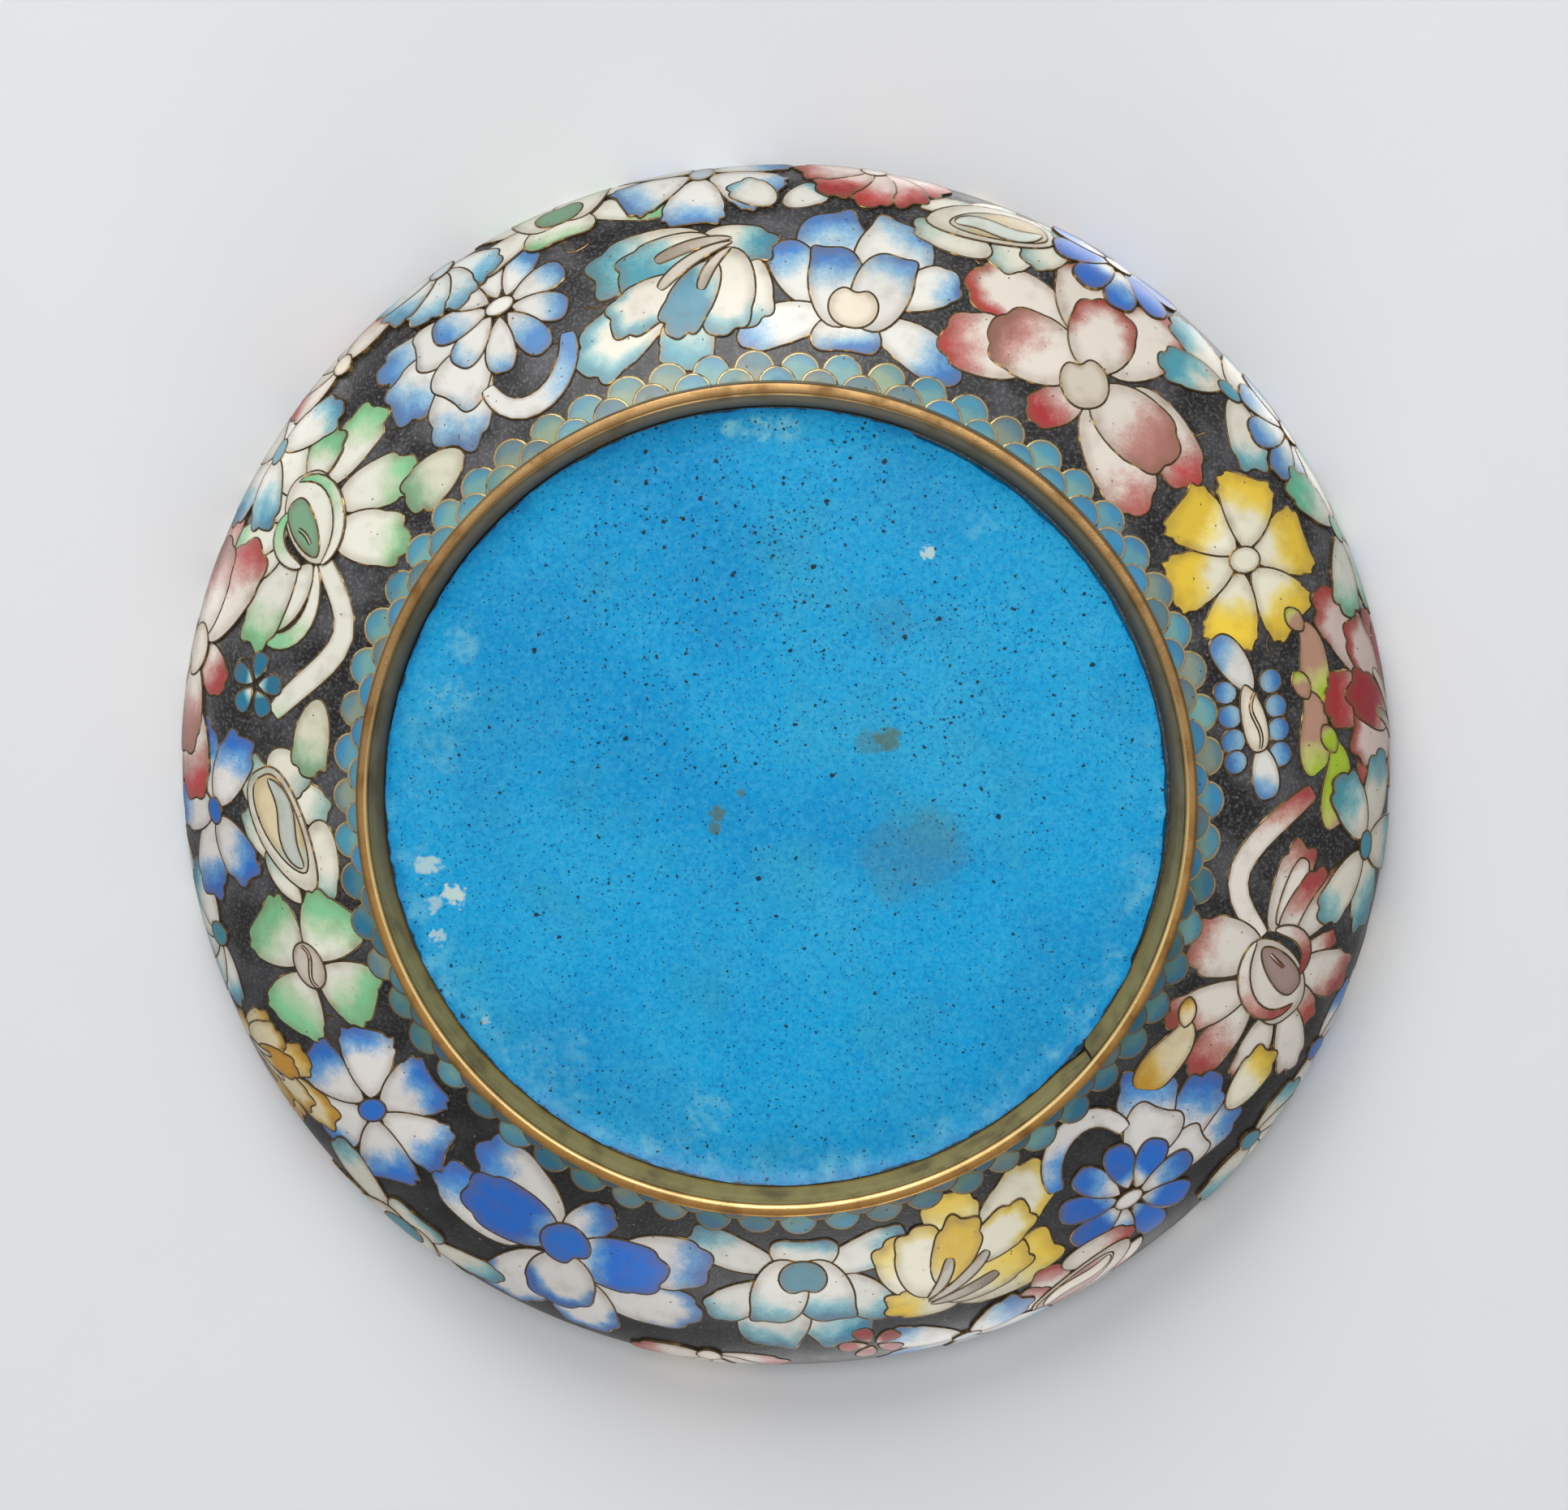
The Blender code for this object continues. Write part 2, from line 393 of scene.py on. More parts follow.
@dataclass(frozen=True)
class BlueEnamel:
    """Turquoise blue counter-enamel: mottled, and on the worn base panel also specked and stained, with
    painted highlights at its top edge and a painted shade along its rim.

    crowds of specks, stains, chips and hazes are round patches: x and y, the reach
    and, but for crowds, the strength. The three hazes at the top of the panel's edge are painted
    highlights.
    """

    name: str = "blue_enamel"
    blue: Colour = srgb(22, 161, 217)
    deep: Colour = srgb(6, 122, 188)
    pale: Colour = srgb(84, 192, 216)
    teal: Colour = srgb(58, 152, 168)
    haze_and_highlight: Colour = srgb(132, 204, 218)
    speck: Colour = srgb(12, 48, 92)
    soot: Colour = srgb(30, 32, 34)
    stain: Colour = srgb(88, 108, 80)
    chip: Colour = srgb(206, 222, 210)
    gloss: float = 0.22
    shine: float = 0.18
    wear_and_painted_light: bool = True
    crowds: tuple[tuple[float, float, float], ...] = (
        (-0.0105, -0.0205, 0.0220), (0.0020, -0.0340, 0.0150), (0.0200, -0.0170, 0.0140),
    )
    stains: Patches = (
        (0.0150, 0.0062, 0.0068, 0.22), (0.0176, 0.0036, 0.0038, 0.16), (0.0124, -0.0068, 0.0018, 0.75),
        (0.0104, -0.0066, 0.0018, 0.35), (-0.0066, 0.0016, 0.0011, 0.75), (-0.0069, 0.0032, 0.0009, 0.70),
        (-0.0040, -0.0007, 0.0006, 0.60), (0.0130, -0.0200, 0.0034, 0.14),
    )
    chips: Patches = (
        (-0.0394, 0.0080, 0.0015, 0.65), (-0.0364, 0.0110, 0.0014, 0.85), (-0.0386, 0.0122, 0.0011, 0.5),
        (-0.0384, 0.0158, 0.0010, 0.6), (0.0170, -0.0280, 0.0009, 0.75), (-0.0330, 0.0255, 0.0006, 0.4),
    )
    hazes_and_highlights: Patches = (
        (-0.0352, -0.0174, 0.0026, 0.42), (-0.0366, -0.0110, 0.0036, 0.34),
        (-0.0378, -0.0050, 0.0030, 0.24), (0.0226, -0.0306, 0.0022, 0.22),
        (-0.0080, 0.0356, 0.0036, 0.34), (-0.0250, 0.0300, 0.0050, 0.20),
        # painted highlights: the three patches on this line and the next stand in for a highlight on the
        # top of the panel's edge
        (0.0012, -0.0417, 0.0020, 0.70), (-0.0020, -0.0418, 0.0018, 0.80),
        (-0.0050, -0.0415, 0.0016, 0.70),
    )

    def material(self) -> Finish:
        """Mixes the enamel.

        Returns:
            Its material.
        """
        mix = Mixture(self.name)
        wide = mix.smooth(mix.grain(75.0, 5.0), 0.42, 0.74)
        colour = mix.blend(wide * 0.18, self.blue, self.pale)
        low = mix.smooth(mix.grain(48.0, 3.0), 0.58, 0.36)
        colour = mix.blend(low * 0.40, colour, self.deep)
        murk = mix.smooth(mix.grain(120.0, 6.0), 0.50, 0.78)
        colour = mix.blend(murk * 0.34, colour, self.teal)
        fine = mix.smooth(mix.grain(1500.0, 4.0), 0.35, 0.75)
        colour = mix.blend(fine * 0.24, colour, self.pale)
        if self.wear_and_painted_light:
            colour = self._add_wear_and_painted_light(mix, colour)
        ripple = mix.grain(260.0, 3.0)
        roughness = self.gloss + fine * 0.14
        return mix.done(
            Base_Color=colour, Roughness=roughness, Specular_IOR_Level=self.shine,
            Normal=mix.bump(ripple, 0.00012),
        )

    def _add_wear_and_painted_light(self, mix: Mixture, colour: Any) -> Any:
        """Adds specks, stains, chips and haze, painted highlights at the top edge, the crack, and a painted
        shade that darkens the base panel's rim.

        Args:
            mix: the mixture.
            colour: the enamel's colour before wear and painted light.

        Returns:
            The worn colour.
        """
        dots = mix.smooth(mix.grain(2300.0, 2.0), 0.50, 0.36)
        colour = mix.blend(dots * 0.42, colour, self.deep)
        patchy = mix.smooth(mix.grain(800.0, 5.0), 0.34, 0.66)
        # haze patches, three of which are painted highlights
        for x, y, reach, strength in self.hazes_and_highlights:
            colour = mix.blend(mix.spot(x, y, reach, 0.8) * patchy * strength, colour, self.haze_and_highlight)
        _, ahead, _ = mix.axes()
        streaks = mix.smooth(mix.grain(420.0, 5.0), 0.46, 0.74) * mix.smooth(ahead, -0.030, 0.015)
        ragged = mix.radius() + (mix.grain(300.0, 4.0) - 0.5) * 0.004
        colour = mix.blend(mix.smooth(ragged, 0.0385, 0.0425) * streaks * 0.42, colour, self.haze_and_highlight)
        # painted shade: the base panel's rim is darkened where the ring's wall shades the recess
        colour = mix.blend(mix.smooth(ragged, 0.0428, 0.0441) * 0.60, colour, self.deep)
        crowd = (mix.grain(70.0, 3.0) - 0.5) * 0.7
        for x, y, reach in self.crowds:
            crowd = crowd + mix.spot(x, y, reach, 0.5) * 0.30
        tiny = mix.smooth(mix.grain(2900.0, 2.0) + crowd * 0.020, 0.660, 0.700)
        colour = mix.blend(tiny * 0.45, colour, self.speck)
        colour = mix.blend(mix.specks(1500.0, 0.23, 0.52, crowd) * 0.78, colour, self.speck)
        colour = mix.blend(mix.specks(900.0, 0.21, 0.10, crowd) * 0.90, colour, self.soot)
        colour = mix.blend(mix.specks(480.0, 0.18, 0.02, crowd) * 0.92, colour, self.soot)
        for x, y, reach, strength in self.stains:
            colour = mix.blend(mix.spot(x, y, reach, 0.8) * strength, colour, self.stain)
        for x, y, reach, strength in self.chips:
            colour = mix.blend(mix.spot(x, y, reach, 1.3) * strength, colour, self.chip)
        crack = mix.smooth(mix.radius() + (mix.grain(500.0, 2.0) - 0.5) * 0.0011, 0.04385, 0.0441)
        return mix.blend(crack * 0.85, colour, self.soot)


@dataclass(frozen=True)
class Brass:
    """Turned brass: lathe lines, brown patina and dirt, with a painted highlight line and painted shade on
    the side above.

    tarnish is how far the patina has spread, edge the radius of a painted highlight line,
    bright on the side below and faint above, and joint the bearing, in degrees, of a dark butt joint.
    above is a painted shade: the duller, darker metal colour on the side above, and sunk a painted
    shade with a painted reflection of the blue panel, deep in the recess there.
    """

    name: str
    metal: Colour
    patina: Colour
    gloss: float
    tarnish: float
    metallic: float = 1.0
    edge: float = 0.0
    joint: Optional[float] = None
    above: Optional[Colour] = None
    sunk: Optional[Colour] = None
    # colour of the painted highlight line
    painted_highlight: Colour = srgb(252, 228, 160)
    gap: Colour = srgb(44, 36, 24)

    def material(self) -> Finish:
        """Mixes the brass.

        Returns:
            Its material.
        """
        mix = Mixture(self.name)
        x, y, z = mix.axes()
        lines = mix.node("ShaderNodeCombineXYZ", None, {0: mix.radius() * 60.0, 1: z * 60.0})
        lathe = mix.grain(90.0, 3.0, lines.outputs[0])
        brown = mix.smooth(mix.grain(260.0, 6.0), 0.62 - self.tarnish, 0.95 - self.tarnish)
        dirt = mix.smooth(mix.grain(1900.0, 3.0), 0.55, 0.80)
        metal = self.metal
        # painted shade: darker, duller metal on the side above, and on the wall deep in the recess a bluish
        # painted shade and painted reflection of the panel
        if self.above:
            over = mix.smooth(y, 0.022, -0.012)
            metal = mix.blend(over, metal, self.above)
            if self.sunk:
                metal = mix.blend(over * mix.smooth(z, 0.0008, 0.0036), metal, self.sunk)
        colour = mix.blend(brown * 0.75 + dirt * 0.20 + (lathe - 0.38) * 1.2, metal, self.patina)
        roughness = self.gloss + brown * 0.16 + (lathe - 0.5) * 0.20
        metallic: Number = self.metallic
        # painted highlight: a bright, less metallic line on the sole's inner edge, strong on the side below
        # and faint above
        if self.edge:
            away = mix.radius() - self.edge
            wear_and_painted_light = mix.smooth(away * away * 1e6, 0.05, 0.005) * (0.2 + mix.grain(160.0, 2.0) * 0.8)
            wear_and_painted_light = wear_and_painted_light * (0.05 + mix.smooth(y, -0.022, 0.012) * 0.95)
            colour = mix.blend(wear_and_painted_light, colour, self.painted_highlight)
            roughness = roughness - wear_and_painted_light * 0.10
            metallic = self.metallic - wear_and_painted_light * 0.45
        if self.joint is not None:
            turn = math.radians(self.joint)
            across = x * math.sin(turn) - y * math.cos(turn)
            ahead = mix.smooth(x * math.cos(turn) + y * math.sin(turn), 0.01, 0.02)
            colour = mix.blend(mix.smooth(across * across * 1e6, 0.05, 0.01) * ahead, colour, self.gap)
        normal = mix.bump(lathe * 0.6 + dirt * 0.4, 0.00002)
        return mix.done(Base_Color=colour, Metallic=metallic, Roughness=roughness, Normal=normal)


@dataclass(frozen=True)
class Wire:
    """Cloison wire, polished flush: brass gone brown, with painted gold glints.

    The wear setting is how much of the wire is painted with gold glints, and fade how many fewer glints on
    the side below.
    """

    name: str
    brown: Colour
    gold: Colour
    wear_and_painted_light: float
    fade: float = 0.5
    gloss: float = 0.44
    metallic: float = 0.60

    def material(self) -> Finish:
        """Mixes the wire's brass.

        Returns:
            Its material.
        """
        mix = Mixture(self.name)
        # painted glints: gold patches stand in for light caught by the wire, fewer on the side below
        bright = mix.smooth(mix.grain(700.0, 3.0), 0.75 - self.wear_and_painted_light, 0.98 - self.wear_and_painted_light)
        bright = bright * (1 - mix.smooth(mix.axes()[1], 0.0, 0.026) * self.fade)
        colour = mix.blend(bright, self.brown, self.gold)
        roughness = self.gloss - bright * 0.14
        return mix.done(Base_Color=colour, Metallic=self.metallic, Roughness=roughness)


@dataclass(frozen=True)
class StudioPaper:
    """The pale paper of the studio, seen from its front side alone."""

    colour: Colour = srgb(229, 230, 231)
    fibre: Colour = srgb(205, 206, 210)

    def material(self) -> Finish:
        """Mixes the paper.

        Returns:
            Its material.
        """
        mix = Mixture("studio_paper")
        colour = mix.blend(mix.grain(90.0, 5.0) * 0.10, self.colour, self.fibre)
        mix.done(Base_Color=colour, Roughness=0.95)
        behind = mix.node("ShaderNodeNewGeometry").outputs["Backfacing"]
        clear = mix.node("ShaderNodeBsdfTransparent")
        both = mix.node(
            "ShaderNodeMixShader",
            None,
            {0: behind, 1: mix.shader.outputs[0], 2: clear.outputs[0]},
        )
        mix.feed(mix.tree.nodes["Material Output"].inputs["Surface"], both.outputs[0])
        return mix.material


class Cupboard:
    """Every finish of the jar, mixed once."""

    def __init__(self) -> None:
        """Mixes the finishes."""
        self.ground = BlackGround().material()
        self.petals = PetalEnamel().material()
        self.base = BlueEnamel().material()
        self.inside = BlueEnamel(name="inside_blue_enamel", wear_and_painted_light=False).material()
        self.foot = Brass(
            "foot_brass", srgb(204, 154, 88), srgb(122, 88, 50), 0.36, 0.22,
            edge=0.04598, above=srgb(172, 138, 92),
        ).material()
        self.wall = Brass(
            "foot_wall_brass", srgb(166, 148, 88), srgb(104, 92, 58), 0.50, 0.20, 0.30,
            joint=JOINT_BEARING, above=srgb(150, 122, 84), sunk=srgb(64, 86, 92),
        ).material()
        self.gilt = Brass("gilt_brass", srgb(226, 186, 104), srgb(132, 96, 48), 0.22, 0.04).material()
        self.wire = Wire("cloison_wire", srgb(92, 74, 46), srgb(200, 162, 96), 0.24).material()
        self.bright_wire = Wire("scale_wire", srgb(104, 88, 58), srgb(226, 192, 124), 0.46, 0.85).material()


class Bulge:
    """A stretch of an ellipse, from a narrow end to the widest place."""

    def __init__(self, narrow: Point, wide: Point, latitude: float) -> None:
        """Fits the ellipse.

        Args:
            narrow, wide: the (radius, height) of its two ends.
            latitude: the angle from the axis at the narrow end, in degrees.
        """
        self.start = math.radians(latitude)
        self.across = (wide[0] - narrow[0]) / (1 - math.sin(self.start))
        self.up = (narrow[1] - wide[1]) / math.cos(self.start)
        self.centre = (wide[0] - self.across, wide[1])

    def points(self, first: float, last: float, wall: float, steps: int) -> Profile:
        """Points of the curve, evenly turned.

        Args:
            first, last: the angles at its ends.
            wall: how far inside the curve they lie.
            steps: how many steps they make.

        Returns:
            The points.
        """
        up = self.up - math.copysign(wall, self.up)
        turns = [first + (last - first) * i / steps for i in range(steps + 1)]
        return [
            (self.centre[0] + (self.across - wall) * math.sin(turn), self.centre[1] + up * math.cos(turn))
            for turn in turns
        ]

    def angle_at_height(self, height: float, wall: float) -> float:
        """Where the curve, a wall inside, reaches a height."""
        return math.acos((height - self.centre[1]) / (self.up - math.copysign(wall, self.up)))

    def angle_at_radius(self, radius: float, wall: float) -> float:
        """Where the curve, a wall inside, reaches a radius."""
        return math.asin((radius - self.centre[0]) / (self.across - wall))


class Meridian:
    """The outline of a turned surface, measured along its own length."""

    def __init__(self, points: Profile) -> None:
        """Measures an outline.

        Args:
            points: its fine points, from the foot or the lid's edge on.
        """
        outline = np.array(points)
        steps = np.diff(outline, axis=0)
        self.radius, self.height = outline[:, 0], outline[:, 1]
        self.run = np.concatenate([[0.0], np.cumsum(np.hypot(steps[:, 0], steps[:, 1]))])
        slope = np.gradient(outline, self.run, axis=0)
        self.out, self.up = slope[:, 1], -slope[:, 0]
        self.length = float(self.run[-1])

    def chart(self, bearing: float, run: float, flat: Array) -> Array:
        """Lays flat points on the surface's chart.

        Args:
            bearing: the design's bearing in radians.
            run: its place along the outline, in metres.
            flat: (across, outward) of each point, in metres.

        Returns:
            The (bearing, run) of each point.
        """
        runs = np.clip(run + flat[:, 1], 0.0, self.length)
        middle = (np.interp(runs, self.run, self.radius) + np.interp(run, self.run, self.radius)) / 2
        return np.stack([bearing + flat[:, 0] / middle, runs], axis=1)

    def lay(self, chart: Array, lift: Array) -> Array:
        """Takes points of the chart into space.

        Args:
            chart: the (bearing, run) of each point.
            lift: height of each point over the surface, in metres.

        Returns:
            The points in space.
        """
        turn, runs = chart[:, 0], chart[:, 1]
        away = np.interp(runs, self.run, self.radius) + lift * np.interp(runs, self.run, self.out)
        height = np.interp(runs, self.run, self.height) + lift * np.interp(runs, self.run, self.up)
        return np.stack([away * np.cos(turn), away * np.sin(turn), height], axis=1)


def mesh_from(name: str, bm: bmesh.types.BMesh) -> bpy.types.Mesh:
    """Makes a mesh of a shape.

    Args:
        name: the mesh's name.
        bm: its shape, which is freed.

    Returns:
        The mesh.
    """
    mesh = bpy.data.meshes.new(name)
    bm.to_mesh(mesh)
    bm.free()
    return mesh


def in_scene(name: str, data: Any) -> Piece:
    """Puts a mesh, a lamp or a camera into the scene.

    Args:
        name: the object's name.
        data: what it holds.

    Returns:
        The object.
    """
    held = bpy.data.objects.new(name, data)
    bpy.context.scene.collection.objects.link(held)
    return held


def turned(bm: bmesh.types.BMesh, points: Profile, sides: int, slot: int, closed: bool = False) -> None:
    """Turns a profile about the jar's axis.

    Args:
        bm: the mesh to add to.
        points: (radius, height) of the profile.
        sides: how many facets round the axis.
        slot: the material slot of the new faces.
        closed: whether the last point joins the first.
    """
    before = len(bm.faces)
    corners = [bm.verts.new((radius, 0.0, height)) for radius, height in points]
    ends = corners[1:] + (corners[:1] if closed else [])
    edges = [bm.edges.new(pair) for pair in zip(corners, ends)]
    bmesh.ops.spin(
        bm, geom=corners + edges, cent=(0, 0, 0), axis=(0, 0, 1), angle=FULL_TURN,
        steps=sides, use_merge=True,
    )
    bm.faces.ensure_lookup_table()
    for face in bm.faces[before:]:
        face.material_index = slot


def closed_piece(
    name: str, bm: bmesh.types.BMesh, materials: Sequence[Finish], crease: float = 40.0
) -> Piece:
    """Welds a turned mesh, turns its faces outward and makes it a piece.

    Args:
        name: the piece's name.
        bm: its mesh, which is freed.
        materials: its material slots in order.
        crease: edges sharper than this many degrees stay crisp.

    Returns:
        The piece.
    """
    bmesh.ops.remove_doubles(bm, verts=bm.verts, dist=WELD)
    bmesh.ops.recalc_face_normals(bm, faces=bm.faces)
    for face in bm.faces:
        face.smooth = True
    mesh = mesh_from(name, bm)
    mesh.set_sharp_from_angle(angle=math.radians(crease))
    for material in materials:
        mesh.materials.append(material)
    return in_scene(name, mesh)


def rounded(points: Profile, reach: float, steps: int = 3) -> Profile:
    """Rounds each corner of a closed profile.

    Args:
        points: the corners.
        reach: how far from a corner its rounding starts.
        steps: segments to a rounding.

    Returns:
        The rounded profile.
    """
    smooth: Profile = []
    for i, corner in enumerate(points):
        here = Vector(corner)
        before, after = Vector(points[i - 1]) - here, Vector(points[(i + 1) % len(points)]) - here
        first = here + before.normalized() * min(reach, before.length * 0.45)
        last = here + after.normalized() * min(reach, after.length * 0.45)
        for j in range(steps + 1):
            t = j / steps
            spot = first * (1 - t) ** 2 + here * 2 * t * (1 - t) + last * t**2
            smooth.append((spot.x, spot.y))
    return smooth


@dataclass
class JarBody:
    """The enamelled copper shell: black outside, blue inside and on the base.

    The base panel seeps a little towards the ring, ragged and raised in a meniscus,
    but for a crack between two bearings, and swells just past the ring's joint.
    """

    belly_height: float = 0.0270
    foot_latitude: float = 42.0
    mouth_latitude: float = 39.0
    wall: float = 0.0024
    mouth_radius: float = 0.0440
    foot_tuck: float = 0.0004
    panel_drop: float = 0.0004
    gap: float = 0.0003
    foot_lean: float = 0.0016
    foot_face: float = 0.00135
    sides: int = 256
    panel_rings: int = 22
    panel_crowd: float = 1.6
    seep: float = 0.00022
    ragged: float = 0.00012
    meniscus: float = 0.00045
    wave: float = 0.00008
    crack_start: float = -70.0
    crack_end: float = 25.0
    crack_depth: float = 0.0005
    swell: float = 0.00045
    swell_past: float = 1.0
    swell_spread: float = 1.6
    lower: Bulge = field(init=False)
    upper: Bulge = field(init=False)

    def __post_init__(self) -> None:
        """Takes the driving sizes from the frame."""
        body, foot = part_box("jar_body")[1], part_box("foot_ring")[1]
        self.belly_radius, self.shoulder_top = body.x, body.z
        self.foot_radius, self.foot_height = foot.x, foot.z
        self.seat = self.foot_height + self.gap
        self.recess = self.foot_height - self.panel_drop
        self.floor_top = self.recess + self.wall
        self.foot_bore = self.foot_radius - self.foot_face - self.foot_lean
        belly = (self.belly_radius, self.belly_height)
        self.lower = Bulge((self.foot_radius - self.foot_tuck, self.seat), belly, self.foot_latitude)
        self.upper = Bulge((self.mouth_radius, self.shoulder_top), belly, self.mouth_latitude)

    def outline(self, steps: int) -> Profile:
        """The outside, from the foot over the belly to the mouth."""
        flank = self.lower.points(self.lower.start, math.pi / 2, 0.0, steps)
        return flank + self.upper.points(math.pi / 2, self.upper.start, 0.0, steps)[1:]

    def meridian(self) -> Meridian:
        """The outside as a surface to lay flowers on."""
        return Meridian(self.outline(600))

    def build(self, cupboard: Cupboard) -> Piece:
        """Makes the shell.

        Args:
            cupboard: the finishes.

        Returns:
            The shell's piece.
        """
        bore = self.mouth_radius - self.wall
        inner_start = self.lower.angle_at_height(self.floor_top, self.wall)
        inner_end = self.upper.angle_at_radius(bore, self.wall)
        inside = [(0.0, self.floor_top)]
        inside += self.lower.points(inner_start, math.pi / 2, self.wall, 20)
        inside += self.upper.points(math.pi / 2, inner_end, self.wall, 20)[1:]
        inside.append((bore, self.shoulder_top))
        outside = [inside[-1], *reversed(self.outline(36))]
        panel_edge = self.foot_bore - self.gap
        outside.append((panel_edge, self.seat))
        shares = [(i / self.panel_rings) ** self.panel_crowd for i in range(self.panel_rings + 1)]
        panel = [outside[-1]] + [(panel_edge * (1 - share), self.recess) for share in shares]
        bm = bmesh.new()
        turned(bm, inside, self.sides, 1)
        turned(bm, outside, self.sides, 0)
        turned(bm, panel, self.sides, 2)
        piece = closed_piece("jar_shell", bm, (cupboard.ground, cupboard.inside, cupboard.base))
        self._shape_panel(piece, panel_edge)
        return piece

    def _shape_panel(self, piece: Piece, panel_edge: float) -> None:
        """Gives the base panel its meniscus, waves, ragged crack and the swelling at the joint.

        Args:
            piece: the shell.
            panel_edge: the panel's radius.
        """
        for vertex in piece.data.vertices:
            spot = vertex.co
            radius = math.hypot(spot.x, spot.y)
            if spot.z > self.recess + 1e-5 or radius > panel_edge + 1e-5:
                continue
            share = radius / panel_edge
            bearing = math.degrees(math.atan2(spot.y, spot.x))
            rough = noise.noise(Vector((spot.x * 260, spot.y * 260, 3.0)))
            reach = self.seep + self.ragged * rough
            if self.crack_start < bearing < self.crack_end:
                reach = -self.crack_depth * (0.35 + 0.9 * abs(rough))
            past = bearing - JOINT_BEARING - self.swell_past
            reach += self.swell * math.exp(-((past / self.swell_spread) ** 2))
            grow = 1 + reach / panel_edge * share**12
            rise = self.meniscus * max(0.0, (share - 0.93) / 0.07) ** 2
            wave = self.wave * noise.noise(Vector((spot.x * 90, spot.y * 90, 0.0)))
            vertex.co = (spot.x * grow, spot.y * grow, spot.z - rise + wave * (1 - share**6))


@dataclass
class FootRing:
    """The brass ring that the jar stands on, with a butt joint.

    At the joint one end stands joint_step inwards and the other joint_dip outwards,
    each for a spread in radians.
    """

    rounding: float = 0.00035
    joint_step: float = 0.00022
    joint_dip: float = 0.0009
    step_spread: float = 0.3
    dip_spread: float = 0.12
    waver: float = 0.00004
    sides: int = 256

    def build(self, cupboard: Cupboard, body: JarBody) -> Piece:
        """Makes the ring.

        Args:
            cupboard: the finishes.
            body: the shell above it, whose sizes it shares.

        Returns:
            The ring's piece.
        """
        low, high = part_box("foot_ring")
        outer, top = high.x, high.z
        sole = outer - body.foot_face
        bore = sole - body.foot_lean
        profile = [
            (bore, body.recess), (bore, top), (outer, top), (outer, low.z), (sole, low.z),
        ]
        bm = bmesh.new()
        turned(bm, rounded(profile, self.rounding, 4), self.sides, 0, closed=True)
        for face in bm.faces:
            middle = face.calc_center_median()
            if math.hypot(middle.x, middle.y) < sole - 0.00012 and middle.z > low.z + 0.0003:
                face.material_index = 1
        piece = closed_piece("foot_ring_brass", bm, (cupboard.foot, cupboard.wall), 60.0)
        joint = math.radians(JOINT_BEARING)
        for vertex in piece.data.vertices:
            spot = vertex.co
            radius = math.hypot(spot.x, spot.y)
            inner = max(0.0, min(1.0, (outer - radius) / body.foot_face - 0.6))
            past = (math.atan2(spot.y, spot.x) - joint + math.pi) % FULL_TURN - math.pi
            step = self.joint_step * math.exp(past / self.step_spread)
            if past > 0:
                step = -self.joint_dip * max(0.0, 1 - past / self.dip_spread) ** 2
            step *= inner * spot.z / top
            waver = self.waver * noise.noise(Vector((spot.x * 70, spot.y * 70, 1.0)))
            grow = (radius - step + waver) / radius
            vertex.co = (spot.x * grow, spot.y * grow, spot.z)
        return piece


@dataclass
class MouthRim:
    """The brass band on the mouth's edge."""

    rounding: float = 0.0007
    sides: int = 192

    def build(self, cupboard: Cupboard, bore: float) -> Piece:
        """Makes the band.

        Args:
            cupboard: the finishes.
            bore: the mouth's inner radius.

        Returns:
            The band's piece.
        """
        low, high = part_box("mouth_rim")
        profile = [(bore, low.z), (bore, high.z), (high.x, high.z), (high.x, low.z)]
        bm = bmesh.new()
        turned(bm, rounded(profile, self.rounding), self.sides, 0, closed=True)
        return closed_piece("mouth_rim_brass", bm, (cupboard.gilt,), 60.0)


@dataclass
class LidRim:
    """The brass band under the lid, with the collar that drops into the mouth."""

    band_height: float = 0.0026
    collar_play: float = 0.0004
    collar_wall: float = 0.0012
    rounding: float = 0.0006
    sides: int = 192

    def build(self, cupboard: Cupboard, mouth_bore: float) -> Piece:
        """Makes the band and its collar.

        Args:
            cupboard: the finishes.
            mouth_bore: the mouth's inner radius.

        Returns:
            The band's piece.
        """
        low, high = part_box("lid_rim")
        collar = mouth_bore - self.collar_play
        inner = collar - self.collar_wall
        band = high.z - self.band_height
        profile = [
            (inner, low.z), (inner, high.z), (high.x, high.z), (high.x, band),
            (collar, band), (collar, low.z),
        ]
        bm = bmesh.new()
        turned(bm, rounded(profile, self.rounding), self.sides, 0, closed=True)
        return closed_piece("lid_rim_brass", bm, (cupboard.gilt,), 60.0)


@dataclass
class Lid:
    """The domed lid: black outside and blue inside."""

    wall: float = 0.0022
    latitude: float = 62.0
    sides: int = 224

    def __post_init__(self) -> None:
        """Fits the dome to the frame."""
        low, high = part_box("lid")
        self.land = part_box("lid_knob")[1].x
        self.base, self.top = low.z, high.z
        self.slope = math.radians(90 - self.latitude)
        self.across = (high.x - self.land) / math.cos(self.slope)
        self.rise = (self.top - self.base) / (1 - math.sin(self.slope))

    def dome(self, start: float, wall: float, steps: int) -> Profile:
        """The dome from its edge to its landing, a wall inside."""
        turns = [start + (math.pi / 2 - start) * i / steps for i in range(steps + 1)]
        return [
            (self.land + (self.across - wall) * math.cos(turn),
             self.top - self.rise + (self.rise - wall) * math.sin(turn))
            for turn in turns
        ]

    def meridian(self) -> Meridian:
        """The outside as a surface to lay flowers on."""
        return Meridian(self.dome(self.slope, 0.0, 600))

    def build(self, cupboard: Cupboard) -> Piece:
        """Makes the dome.

        Args:
            cupboard: the finishes.

        Returns:
            The lid's piece.
        """
        inner_start = math.asin((self.base - self.top + self.rise) / (self.rise - self.wall))
        inside = self.dome(inner_start, self.wall, 24) + [(0.0, self.top - self.wall)]
        outside = [(0.0, self.top), *reversed(self.dome(self.slope, 0.0, 30)), inside[0]]
        bm = bmesh.new()
        turned(bm, outside, self.sides, 0)
        turned(bm, inside, self.sides, 1)
        return closed_piece("lid_shell", bm, (cupboard.ground, cupboard.inside))


